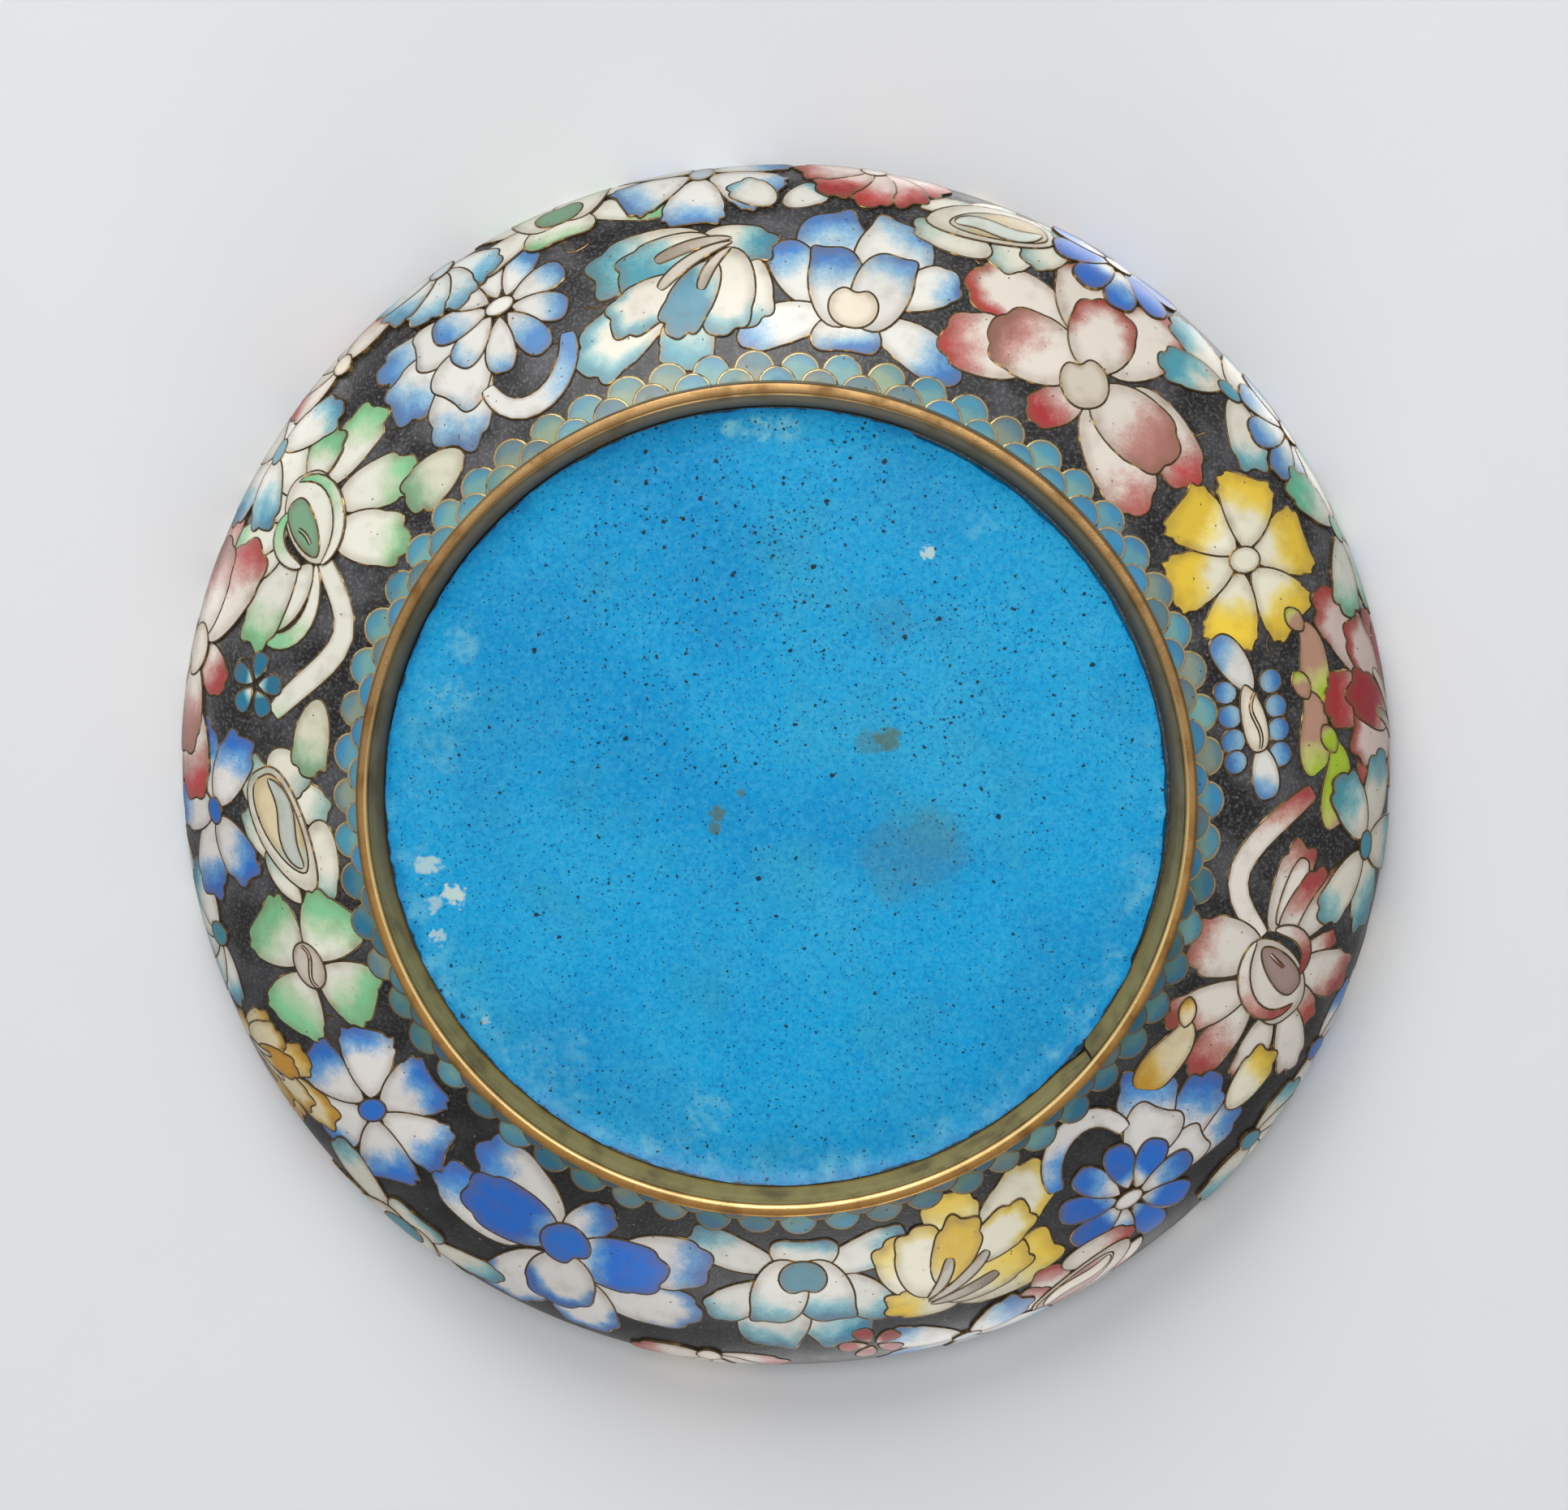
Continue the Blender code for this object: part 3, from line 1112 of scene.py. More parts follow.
@dataclass
class Knob:
    """The gilt bud on its flanged stem."""

    flange_height: float = 0.0014
    stem_radius: float = 0.0038
    stem_height: float = 0.0030
    bud_radius: float = 0.0086
    bud_height: float = 0.0112
    tip_radius: float = 0.0016
    flare: float = 0.0022
    softening: float = 0.0002
    sides: int = 120
    bud_steps: int = 28
    waist_steps: int = 6
    tip_steps: int = 8
    petals: int = 8
    flute: float = 0.060

    def build(self, cupboard: Cupboard) -> Piece:
        """Makes the knob.

        Args:
            cupboard: the finishes.

        Returns:
            The knob's piece.
        """
        low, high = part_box("lid_knob")
        edge = high.x
        stem_base = low.z + self.flange_height
        bud_base = stem_base + self.stem_height
        half = self.bud_height / 2
        start = math.asin(self.stem_radius / self.bud_radius)
        end = math.pi - math.asin(self.tip_radius / self.bud_radius)
        bud = [
            (self.bud_radius * math.sin(turn), bud_base + half - half * math.cos(turn))
            for turn in (start + (end - start) * i / self.bud_steps for i in range(self.bud_steps + 1))
        ]
        waist = [
            (self.stem_radius + self.flare * (1 - share) ** 3, stem_base + (bud_base - stem_base) * share)
            for share in (i / self.waist_steps for i in range(self.waist_steps + 1))
        ]
        tip_low = bud[-1][1]
        tip = [
            (self.tip_radius * math.cos(turn), tip_low + (high.z - tip_low) * math.sin(turn))
            for turn in (math.pi / 2 * i / self.tip_steps for i in range(1, self.tip_steps))
        ]
        soft = self.softening
        flange = [
            (0.0, low.z), (edge - soft, low.z), (edge, low.z + soft),
            (edge, stem_base - 2 * soft), (edge - 2 * soft, stem_base),
        ]
        profile = flange + waist + bud[1:] + tip + [(0.0, high.z)]
        bm = bmesh.new()
        turned(bm, profile, self.sides, 0)
        for vertex in bm.verts:
            share = (vertex.co.z - bud_base) / self.bud_height
            if not 0.0 < share < 1.0:
                continue
            bearing = math.atan2(vertex.co.y, vertex.co.x)
            groove = abs(math.cos(bearing * self.petals / 2)) ** 0.6
            sink = 1 - self.flute * (1 - groove) * math.sin(math.pi * share) * 2
            vertex.co = (vertex.co.x * sink, vertex.co.y * sink, vertex.co.z)
        return closed_piece("lid_knob_brass", bm, (cupboard.gilt,), 55.0)


@dataclass(frozen=True)
class Shears:
    """How a cell's outline is cut.

    root and tip narrow its ends, blunt squares its sides, lobes and frill wave its
    tip, notch splits it, beak draws one corner out, and lean bends the cell.
    """

    root: float = 0.0
    tip: float = 0.0
    blunt: float = 1.0
    lobes: int = 0
    frill: float = 0.0
    notch: float = 0.0
    beak: float = 0.0
    lean: float = 0.0


class Cut(Enum):
    """The outlines that the maker bent from wire."""

    ROUND = Shears()
    DROP = Shears(root=0.75, blunt=0.72)
    PETAL = Shears(root=0.40, blunt=0.72)
    OVAL = Shears(root=0.14, blunt=0.80, lobes=3, frill=0.062)
    LOBED = Shears(root=0.36, blunt=0.68, lobes=3, frill=0.095)
    FRILLED = Shears(root=0.95, blunt=0.38, lobes=5, frill=0.060)
    CLOVER = Shears(root=0.85, blunt=0.50, lobes=5, frill=0.055)
    HEARTED = Shears(root=0.45, blunt=0.55, notch=0.16)
    SHIELD = Shears(root=0.05, blunt=0.80, notch=0.26)
    LEAF = Shears(root=0.5, tip=0.45, blunt=0.85)
    BEAKED = Shears(root=0.10, blunt=0.76, beak=0.22)
    BEAKED_BACK = Shears(root=0.10, blunt=0.76, beak=-0.22)
    WING = Shears(root=0.50, tip=0.12, blunt=0.66, lobes=3, frill=0.050, lean=0.16)
    WING_BACK = Shears(root=0.50, tip=0.12, blunt=0.66, lobes=3, frill=0.050, lean=-0.16)
    BAND = Shears(blunt=0.26)
    CLUB = Shears(root=0.5, blunt=0.45)
    CRESCENT = Shears(root=0.15, tip=0.35, blunt=0.7)


@dataclass(frozen=True)
class Wash:
    """How the enamel is shaded in a cell.

    The colour starts at start, from root to tip, and is full after soft more. edge
    moves the shading from the tip to the whole rim. strong takes the deep colour
    for the tip, and heart the heart's.
    """

    start: float
    soft: float
    edge: float = 0.0
    strong: bool = False
    heart: bool = False


class Tone(Enum):
    """The ways in which the enameller shaded a cell."""

    TIPPED = Wash(0.48, 0.50)
    BLUSHED = Wash(0.20, 0.66)
    EDGED = Wash(0.56, 0.42, edge=0.72)
    FULL = Wash(0.04, 0.34, strong=True)
    DEEP_TIP = Wash(0.30, 0.56, strong=True)
    PALE = Wash(0.84, 0.50)
    STREAKED = Wash(0.30, 0.42)
    RIMMED = Wash(0.50, 0.56, edge=0.78)
    HEART = Wash(-1.0, 0.30, heart=True)


@dataclass(frozen=True)
class Palette:
    """The colours of one flower, from its light root by way of middle to the tip."""

    light: Colour
    middle: Colour
    tip: Colour
    deep: Colour
    heart: Colour


def palette(*colours: tuple[int, int, int]) -> Palette:
    """A palette of five colours as the eye reads them."""
    return Palette(*(srgb(*colour) for colour in colours))


def worn_scale(red: int, green: int, blue: int) -> Palette:
    """The palette of a scale of one colour, paler and browner at its root."""
    root, middle = (min(255, red + 46), min(255, green + 20), blue - 10), (red + 10, green + 4, blue)
    return palette(root, middle, (red - 8, green - 2, blue), (red, green, blue), (red, green, blue))


class Dye(Enum):
    """The flower colours of the jar."""

    SKY = palette((236, 234, 226), (156, 198, 222), (84, 142, 200), (52, 116, 192), (196, 208, 214))
    SKY_CREAM = palette((238, 236, 226), (152, 196, 220), (68, 132, 200), (48, 112, 188), (236, 224, 200))
    COBALT = palette((236, 232, 226), (112, 172, 222), (36, 116, 206), (30, 108, 204), (34, 110, 200))
    TURQUOISE = palette((236, 230, 212), (150, 200, 200), (76, 156, 172), (60, 136, 158), (66, 146, 166))
    LAGOON = palette((236, 234, 222), (140, 198, 206), (44, 134, 166), (40, 122, 154), (52, 138, 158))
    ICE = palette((232, 236, 230), (160, 206, 222), (92, 164, 196), (76, 148, 186), (210, 222, 222))
    ROSE = palette((236, 226, 212), (204, 148, 138), (188, 56, 60), (172, 116, 104), (232, 220, 200))
    BLUSH = palette((236, 228, 216), (206, 152, 138), (168, 66, 64), (164, 60, 60), (160, 136, 130))
    CRIMSON = palette((228, 206, 196), (198, 116, 108), (172, 44, 50), (154, 34, 42), (222, 208, 196))
    YELLOW = palette((248, 242, 216), (248, 226, 128), (244, 207, 66), (242, 200, 34), (238, 232, 208))
    HONEY = palette((234, 218, 178), (226, 194, 112), (206, 156, 48), (196, 140, 40), (230, 220, 192))
    MINT = palette((240, 238, 222), (198, 222, 182), (132, 202, 148), (118, 186, 136), (130, 172, 138))
    JADE = palette((236, 236, 220), (170, 216, 188), (98, 188, 150), (110, 178, 150), (146, 198, 168))
    LIME = palette((190, 146, 122), (206, 208, 120), (168, 200, 36), (170, 200, 40), (230, 230, 196))
    LIME_BACK = palette((172, 200, 48), (204, 206, 110), (188, 142, 124), (180, 134, 120), (230, 230, 196))
    BUD = palette((240, 236, 218), (204, 216, 200), (148, 188, 180), (218, 202, 162), (206, 212, 200))
    CREAM = palette((240, 230, 208), (232, 216, 186), (222, 200, 164), (212, 190, 148), (196, 182, 142))
    SAGE = palette((232, 230, 204), (196, 214, 180), (138, 186, 146), (130, 172, 138), (200, 210, 190))
    STONE = palette((214, 204, 188), (180, 168, 150), (150, 136, 118), (130, 116, 98), (168, 156, 138))
    BERRY = palette((150, 190, 214), (96, 154, 200), (52, 116, 184), (44, 104, 174), (96, 150, 200))
    SCALE_SEA = worn_scale(78, 154, 180)
    SCALE_MOSS = worn_scale(104, 152, 152)
    SCALE_SKY = worn_scale(60, 148, 194)
    SCALE_SLATE = worn_scale(96, 136, 148)
    SCALE_DEEP = worn_scale(44, 116, 148)
    SCALE_TEAL = worn_scale(58, 122, 138)


@dataclass(frozen=True)
class Cell:
    """One cell of enamel in a design, in the design's own millimetres.

    path runs from the root to the tip, with guide points between for a bend. A later
    cell of a design lies over an earlier one. dye stands in for the flower's own.
    """

    path: tuple[Point, ...]
    width: float
    cut: Cut = Cut.PETAL
    tone: Tone = Tone.TIPPED
    dye: Optional[Dye] = None


def petal(
    root: Point, tip: Point, width: float,
    cut: Cut = Cut.LOBED, tone: Tone = Tone.TIPPED, dye: Optional[Dye] = None,
) -> Cell:
    """A straight cell from root to tip."""
    return Cell((root, tip), width, cut, tone, dye)


def ray(
    bearing: float, start: float, end: float, width: float,
    cut: Cut = Cut.DROP, tone: Tone = Tone.TIPPED,
) -> Cell:
    """A cell that points away from the flower's middle, with its bearing in degrees."""
    side, ahead = math.sin(math.radians(bearing)), math.cos(math.radians(bearing))
    return petal((side * start, ahead * start), (side * end, ahead * end), width, cut, tone)


def great_peony(inner: Tone, front: Tone) -> list[Cell]:
    """Six outer petals, three inner ones before them and a notched shield.

    Args:
        inner: how the two wide inner petals are shaded.
        front: how the third inner petal is shaded.

    Returns:
        The cells.
    """
    return [
        petal((-4.4, 4.6), (-17.0, 5.6), 8.2, Cut.OVAL, Tone.EDGED),
        petal((-5.6, -1.6), (-17.0, -2.6), 8.4, Cut.OVAL),
        petal((-2.6, 4.6), (-6.8, 15.4), 7.8, Cut.OVAL, Tone.EDGED),
        petal((1.2, 2.8), (4.2, 16.4), 8.2, Cut.OVAL, Tone.EDGED),
        petal((4.4, 3.4), (17.2, 0.8), 7.6, Cut.OVAL),
        petal((1.6, -1.8), (14.6, -6.8), 8.0, Cut.OVAL),
        petal((0.8, -1.4), (-3.4, -7.2), 5.4, Cut.OVAL, Tone.BLUSHED),
        petal((-0.8, 0.6), (-12.2, 0.2), 8.6, Cut.OVAL, inner),
        petal((-0.2, 1.4), (-2.2, 11.4), 8.4, Cut.OVAL, front),
        petal((1.2, -0.4), (13.4, 0.6), 8.6, Cut.OVAL, inner),
        petal((2.4, -2.0), (-2.0, 2.4), 6.2, Cut.SHIELD, Tone.HEART),
    ]


def lotus() -> list[Cell]:
    """Two beaked petals round a heart, two tall ones behind, side petals and a skirt."""
    return [
        petal((-1.4, 0.6), (-4.6, 12.2), 8.2, Cut.BEAKED),
        petal((2.6, 0.6), (4.4, 12.2), 8.6, Cut.BEAKED_BACK),
        petal((-4.0, -0.2), (-9.0, 7.8), 5.8, Cut.BEAKED_BACK),
        petal((4.6, 0.6), (11.0, 6.4), 5.4, Cut.WING_BACK),
        petal((-1.8, -1.6), (-12.6, -4.6), 5.4, Cut.WING),
        petal((2.2, -1.8), (13.4, -5.6), 5.6, Cut.WING_BACK),
        petal((-0.3, -0.8), (-0.3, -6.2), 8.8, Cut.HEARTED),
        petal((-1.2, -3.0), (-3.0, 7.2), 6.8, Cut.BEAKED_BACK),
        petal((1.6, -3.0), (3.8, 7.2), 7.0, Cut.BEAKED),
        petal((0.0, -2.8), (0.0, 2.4), 6.0, Cut.SHIELD, Tone.HEART),
    ]


def stamen_peony() -> list[Cell]:
    """Paired lobed petals that open to one side of a bunch of stamens."""
    return [
        petal((-2.4, 1.6), (-16.2, -1.2), 8.0),
        petal((-6.8, -5.2), (-19.0, -11.4), 8.0, tone=Tone.EDGED),
        petal((1.2, -0.6), (1.6, -10.4), 7.6),
        petal((-4.8, -7.0), (-6.4, -14.6), 7.4, tone=Tone.BLUSHED),
        petal((-3.0, 1.8), (5.6, -0.6), 4.8, tone=Tone.DEEP_TIP),
        petal((-1.4, 1.2), (-12.8, -2.0), 6.2, tone=Tone.BLUSHED),
        petal((-4.6, -4.0), (-14.8, -7.6), 6.0, tone=Tone.EDGED),
        petal((0.6, -0.2), (-1.8, -11.0), 7.4, tone=Tone.EDGED),
        petal((-1.6, -1.8), (-7.6, -10.4), 6.0, tone=Tone.FULL),
        Cell(((0.4, 0.8), (-3.6, 1.2), (-8.4, -0.6)), 1.8, Cut.CLUB, Tone.BLUSHED, Dye.STONE),
        Cell(((0.4, 0.2), (-4.4, -0.8), (-8.2, -4.6)), 1.7, Cut.CLUB, Tone.PALE, Dye.STONE),
        Cell(((0.4, -0.2), (-2.4, -1.8), (-3.6, -5.4)), 1.6, Cut.CLUB, dye=Dye.STONE),
    ]


def swirl() -> list[Cell]:
    """The rolled heart of a chrysanthemum: a body in two bent bands round a bean."""
    return [
        petal((-3.0, -3.6), (4.8, 5.2), 7.6, Cut.PETAL, Tone.PALE),
        Cell(((-2.8, -3.6), (2.6, -5.8), (8.4, 1.2), (3.2, 5.2)), 1.9, Cut.CRESCENT, Tone.BLUSHED),
        Cell(((-4.6, -1.2), (-5.6, 3.6), (-2.0, 5.4), (0.2, 3.8)), 1.9, Cut.CRESCENT, Tone.BLUSHED),
        petal((-2.4, -2.6), (1.6, 4.4), 3.8, Cut.PETAL, Tone.HEART),
        Cell(((-1.6, -1.2), (-0.9, 0.2), (-0.8, 1.6)), 0.6, Cut.BAND, Tone.BLUSHED),
    ]


def chrysanthemum() -> list[Cell]:
    """Ten long lobed rays round a swirl, on a stem bent like an elbow."""
    elbow = ((-2.2, -3.0), (-6.6, -10.6), (-9.6, -13.4), (-15.6, -6.6), (-21.6, -3.2))
    return [
        Cell(elbow, 3.2, Cut.BAND, Tone.PALE),
        Cell(((-2.8, -2.6), (-9.6, -7.4), (-14.6, -2.8), (-13.4, 0.6)), 2.2, Cut.CLUB),
        petal((4.6, 1.4), (15.6, 2.8), 5.8),
        petal((3.8, -1.2), (13.2, -7.0), 6.2),
        petal((0.6, -2.6), (5.2, -11.8), 7.2),
        petal((-3.4, -2.4), (-12.9, -0.4), 4.4, Cut.LEAF),
        petal((-3.8, 0.2), (-15.6, 2.6), 5.6),
        petal((-3.8, 2.2), (-8.2, 6.2), 3.8),
        petal((-2.0, 2.8), (-7.2, 11.6), 5.2),
        petal((0.0, 3.4), (-0.3, 9.8), 4.2, tone=Tone.DEEP_TIP),
        petal((2.0, 4.2), (8.2, 16.8), 7.0),
        petal((4.2, 3.4), (10.8, 5.6), 5.0, tone=Tone.DEEP_TIP),
        *swirl(),
    ]


def aster() -> list[Cell]:
    """The chrysanthemum's sister: more and shorter rays, and a longer bent stem."""
    stem = ((-3.6, -2.6), (-8.2, -10.4), (-11.8, -9.0), (-16.2, -5.2), (-21.0, 1.2))
    return [
        Cell(stem, 3.1, Cut.BAND),
        petal((-4.2, -1.8), (-15.2, 0.8), 5.6),
        petal((-5.2, -1.4), (-13.2, 0.9), 3.0, Cut.PETAL, Tone.PALE),
        petal((-4.4, -0.8), (-12.2, 4.1), 4.4, tone=Tone.BLUSHED),
        petal((-4.2, 1.8), (-13.0, 8.2), 4.8, tone=Tone.DEEP_TIP),
        petal((-2.6, 3.4), (-5.2, 8.6), 3.0, tone=Tone.DEEP_TIP),
        petal((-0.8, 3.0), (-1.2, 14.0), 5.6),
        petal((1.2, 3.6), (5.0, 9.4), 4.2, tone=Tone.BLUSHED),
        petal((3.6, 3.8), (10.6, 10.6), 4.8, tone=Tone.PALE),
        petal((5.0, 2.0), (13.8, 3.4), 5.0, tone=Tone.EDGED),
        petal((4.2, -1.2), (14.4, -3.8), 5.2, tone=Tone.BLUSHED),
        petal((2.2, -1.8), (9.8, -10.0), 5.8),
        petal((-1.8, -2.0), (-0.6, -11.6), 7.8),
        *swirl(),
    ]


def daisy(tone: Tone) -> list[Cell]:
    """Nine rays round a pale oval eye.

    Args:
        tone: how two rays in three are shaded.

    Returns:
        The cells.
    """
    rays = [
        ray(40.0 * i + 2, 1.3, 8.6, 4.3, tone=Tone.BLUSHED if i % 3 == 1 else tone) for i in range(9)
    ]
    return [*rays, petal((-1.9, 0.2), (1.9, -0.1), 2.5, Cut.ROUND, Tone.PALE)]


def bouquet(tone: Tone) -> list[Cell]:
    """A daisy before a fan of notched petals, with a hooked stem.

    Args:
        tone: how the daisy is shaded.

    Returns:
        The cells.
    """
    return [
        petal((-4.0, -0.4), (-16.0, 2.6), 6.2),
        petal((-4.6, -2.0), (-17.4, -3.0), 6.8),
        petal((-4.6, -4.0), (-13.2, -11.6), 8.4),
        petal((-4.0, -0.6), (-11.8, 1.6), 6.4, Cut.HEARTED, Tone.PALE),
        petal((-3.6, -3.8), (-11.0, -6.8), 7.8, Cut.HEARTED, Tone.PALE),
        Cell(((-5.6, -8.4), (-6.0, -15.8), (4.4, -14.6), (5.8, -7.4)), 3.0, Cut.BAND),
        *daisy(tone),
    ]


def cosmos(tone: Tone) -> list[Cell]:
    """Six broad frilled petals round an oval eye."""
    petals = [ray(60.0 * i + 8, 1.2, 10.2, 7.6, Cut.FRILLED, tone) for i in range(6)]
    return [*petals, petal((-0.4, -2.2), (0.4, 2.2), 3.2, Cut.ROUND, Tone.HEART)]


def clover() -> list[Cell]:
    """Four broad frilled petals round a split bean."""
    petals = [ray(bearing, 0.8, 9.2, 8.8, Cut.CLOVER, Tone.BLUSHED) for bearing in (52, 138, 226, 318)]
    return [
        *petals,
        petal((-2.9, -0.2), (2.9, 0.3), 4.2, Cut.ROUND, Tone.PALE, Dye.STONE),
        Cell(((-2.6, -0.2), (-0.8, 1.6), (0.6, -1.8), (2.6, 0.2)), 0.6, Cut.BAND, Tone.PALE, Dye.STONE),
    ]


def rolled_bud() -> list[Cell]:
    """A rolled bud of nested crescents between its leaves."""
    return [
        petal((4.8, 0.4), (1.6, -5.6), 5.2, Cut.OVAL),
        petal((8.6, 2.8), (4.8, -3.0), 5.0, Cut.OVAL),
        petal((1.6, 3.2), (8.4, 5.6), 4.8, Cut.OVAL),
        petal((-3.6, 2.2), (2.2, 6.4), 3.6, Cut.OVAL),
        petal((1.2, -4.4), (-8.6, -3.0), 5.2, Cut.OVAL),
        petal((-8.6, -0.2), (-2.6, 3.6), 3.2, Cut.LEAF),
        petal((-7.4, -2.2), (6.8, 4.0), 7.4, Cut.PETAL, Tone.PALE),
        petal((-5.0, -1.8), (6.2, 3.4), 5.2, Cut.PETAL, Tone.FULL),
        Cell(((-4.4, -1.4), (-0.6, 2.0), (2.2, -2.2), (5.6, 2.6)), 2.6, Cut.CRESCENT, Tone.HEART),
    ]


def orchid() -> list[Cell]:
    """Five lobed drops round a small eye."""
    return [
        petal((-0.6, 0.2), (-10.2, 3.4), 6.0),
        petal((0.6, 0.2), (10.2, 3.8), 6.0, tone=Tone.BLUSHED),
        petal((0.6, -0.4), (9.0, -5.2), 5.8),
        petal((-0.6, -0.4), (-8.2, -5.2), 5.6, tone=Tone.BLUSHED),
        petal((0.0, 0.4), (0.4, 8.8), 6.2),
        petal((-1.8, -0.4), (1.8, 0.4), 2.6, Cut.ROUND, Tone.HEART),
    ]


def berry_spray() -> list[Cell]:
    """A bean among eight small berries, between two drops."""
    beads = [
        petal((x, side * 1.4), (x + lean, side * 4.6), 3.1, Cut.ROUND, Tone.BLUSHED, Dye.BERRY)
        for side in (-1, 1) for x, lean in ((-3.2, -0.8), (-0.8, 0.0), (1.8, 0.2), (4.2, 0.8))
    ]
    return [
        *beads,
        petal((-3.0, 0.4), (-10.2, -2.4), 4.0, Cut.PETAL),
        petal((3.0, 0.2), (9.6, 1.2), 4.0, Cut.PETAL),
        petal((-3.9, -0.4), (4.1, 0.4), 3.6, Cut.PETAL, Tone.PALE, Dye.CREAM),
        Cell(((-3.0, 0.6), (-0.4, -1.8), (0.8, 1.6), (3.4, 0.4)), 0.6, Cut.BAND, Tone.PALE, Dye.CREAM),
    ]


def posy() -> list[Cell]:
    """Five small plain drops."""
    return [ray(72.0 * i + 20, 0.5, 4.0, 2.7, tone=Tone.FULL) for i in range(5)]


def drop_leaf() -> list[Cell]:
    """One drop with a lobed end."""
    return [petal((4.2, 0.0), (-4.8, 0.4), 5.4)]


def twin_leaf() -> list[Cell]:
    """A bent lobed leaf and its small bract."""
    return [
        Cell(((-4.6, -0.8), (-1.6, 1.6), (1.4, -1.6), (4.8, 0.4)), 4.8, Cut.CLUB),
        petal((-3.6, -0.4), (-7.2, -1.8), 2.6, Cut.LEAF),
    ]


def leaf_pair() -> list[Cell]:
    """Two lobed leaves on one point."""
    return [petal((0.6, -0.4), (5.6, 3.4), 4.6), petal((-0.6, -0.4), (-5.2, 3.8), 4.6, tone=Tone.PALE)]


def fan() -> list[Cell]:
    """Five notched petals that open from one point."""
    petals = [ray(36.0 * i - 72, 0.6, 9.2, 6.0, Cut.LOBED) for i in range(5)]
    return [*petals, ray(0.0, -1.8, 2.0, 3.2, Cut.ROUND, Tone.HEART)]


def sprig() -> list[Cell]:
    """Three little leaves on one point."""
    return [ray(bearing, 0.3, 5.2, 3.0, Cut.LEAF, Tone.BLUSHED) for bearing in (-64, 0, 64)]


class Motif(Enum):
    """The designs that the flower painter repeats."""

    GREAT_PEONY = tuple(great_peony(Tone.DEEP_TIP, Tone.RIMMED))
    DARK_PEONY = tuple(great_peony(Tone.FULL, Tone.EDGED))
    LOTUS = tuple(lotus())
    STAMEN_PEONY = tuple(stamen_peony())
    CHRYSANTHEMUM = tuple(chrysanthemum())
    ASTER = tuple(aster())
    BOUQUET = tuple(bouquet(Tone.TIPPED))
    DARK_BOUQUET = tuple(bouquet(Tone.FULL))
    DAISY = tuple(daisy(Tone.BLUSHED))
    DARK_DAISY = tuple(daisy(Tone.FULL))
    COSMOS = tuple(cosmos(Tone.TIPPED))
    RICH_COSMOS = tuple(cosmos(Tone.STREAKED))
    CLOVER = tuple(clover())
    ROLLED_BUD = tuple(rolled_bud())
    ORCHID = tuple(orchid())
    BERRY_SPRAY = tuple(berry_spray())
    POSY = tuple(posy())
    DROP_LEAF = tuple(drop_leaf())
    TWIN_LEAF = tuple(twin_leaf())
    LEAF_PAIR = tuple(leaf_pair())
    FAN = tuple(fan())
    SPRIG = tuple(sprig())


@dataclass(frozen=True)
class Bloom:
    """One flower: its design, where it grows and its colours.

    bearing is in degrees, run in millimetres outward from the surface's lower edge.
    """

    cells: Sequence[Cell]
    bearing: float
    run: float
    dye: Dye
    turn: float = 0.0
    scale: float = 1.0
    mirrored: bool = False

    def lay(self, sheet: "Sheet") -> None:
        """Lays the flower on a sheet."""
        sheet.grow(self)


@dataclass(frozen=True)
class Blank:
    """A flat plate that cells are shaped from, with the place of each corner on it.

    turn is the corner's angle round the outline, from 0 at the root to pi at the
    tip, share how far out it is, edge and rim mark the wire's two lines, and sunk
    marks the underside. loop lists the top's outer corners in order, core lists the
    top's inner ones, and strip tells a long plate from a round one.
    """

    mesh: bpy.types.Mesh
    turn: Array
    share: Array
    edge: Array
    rim: Array
    sunk: Array
    loop: Array
    core: Array
    strip: bool


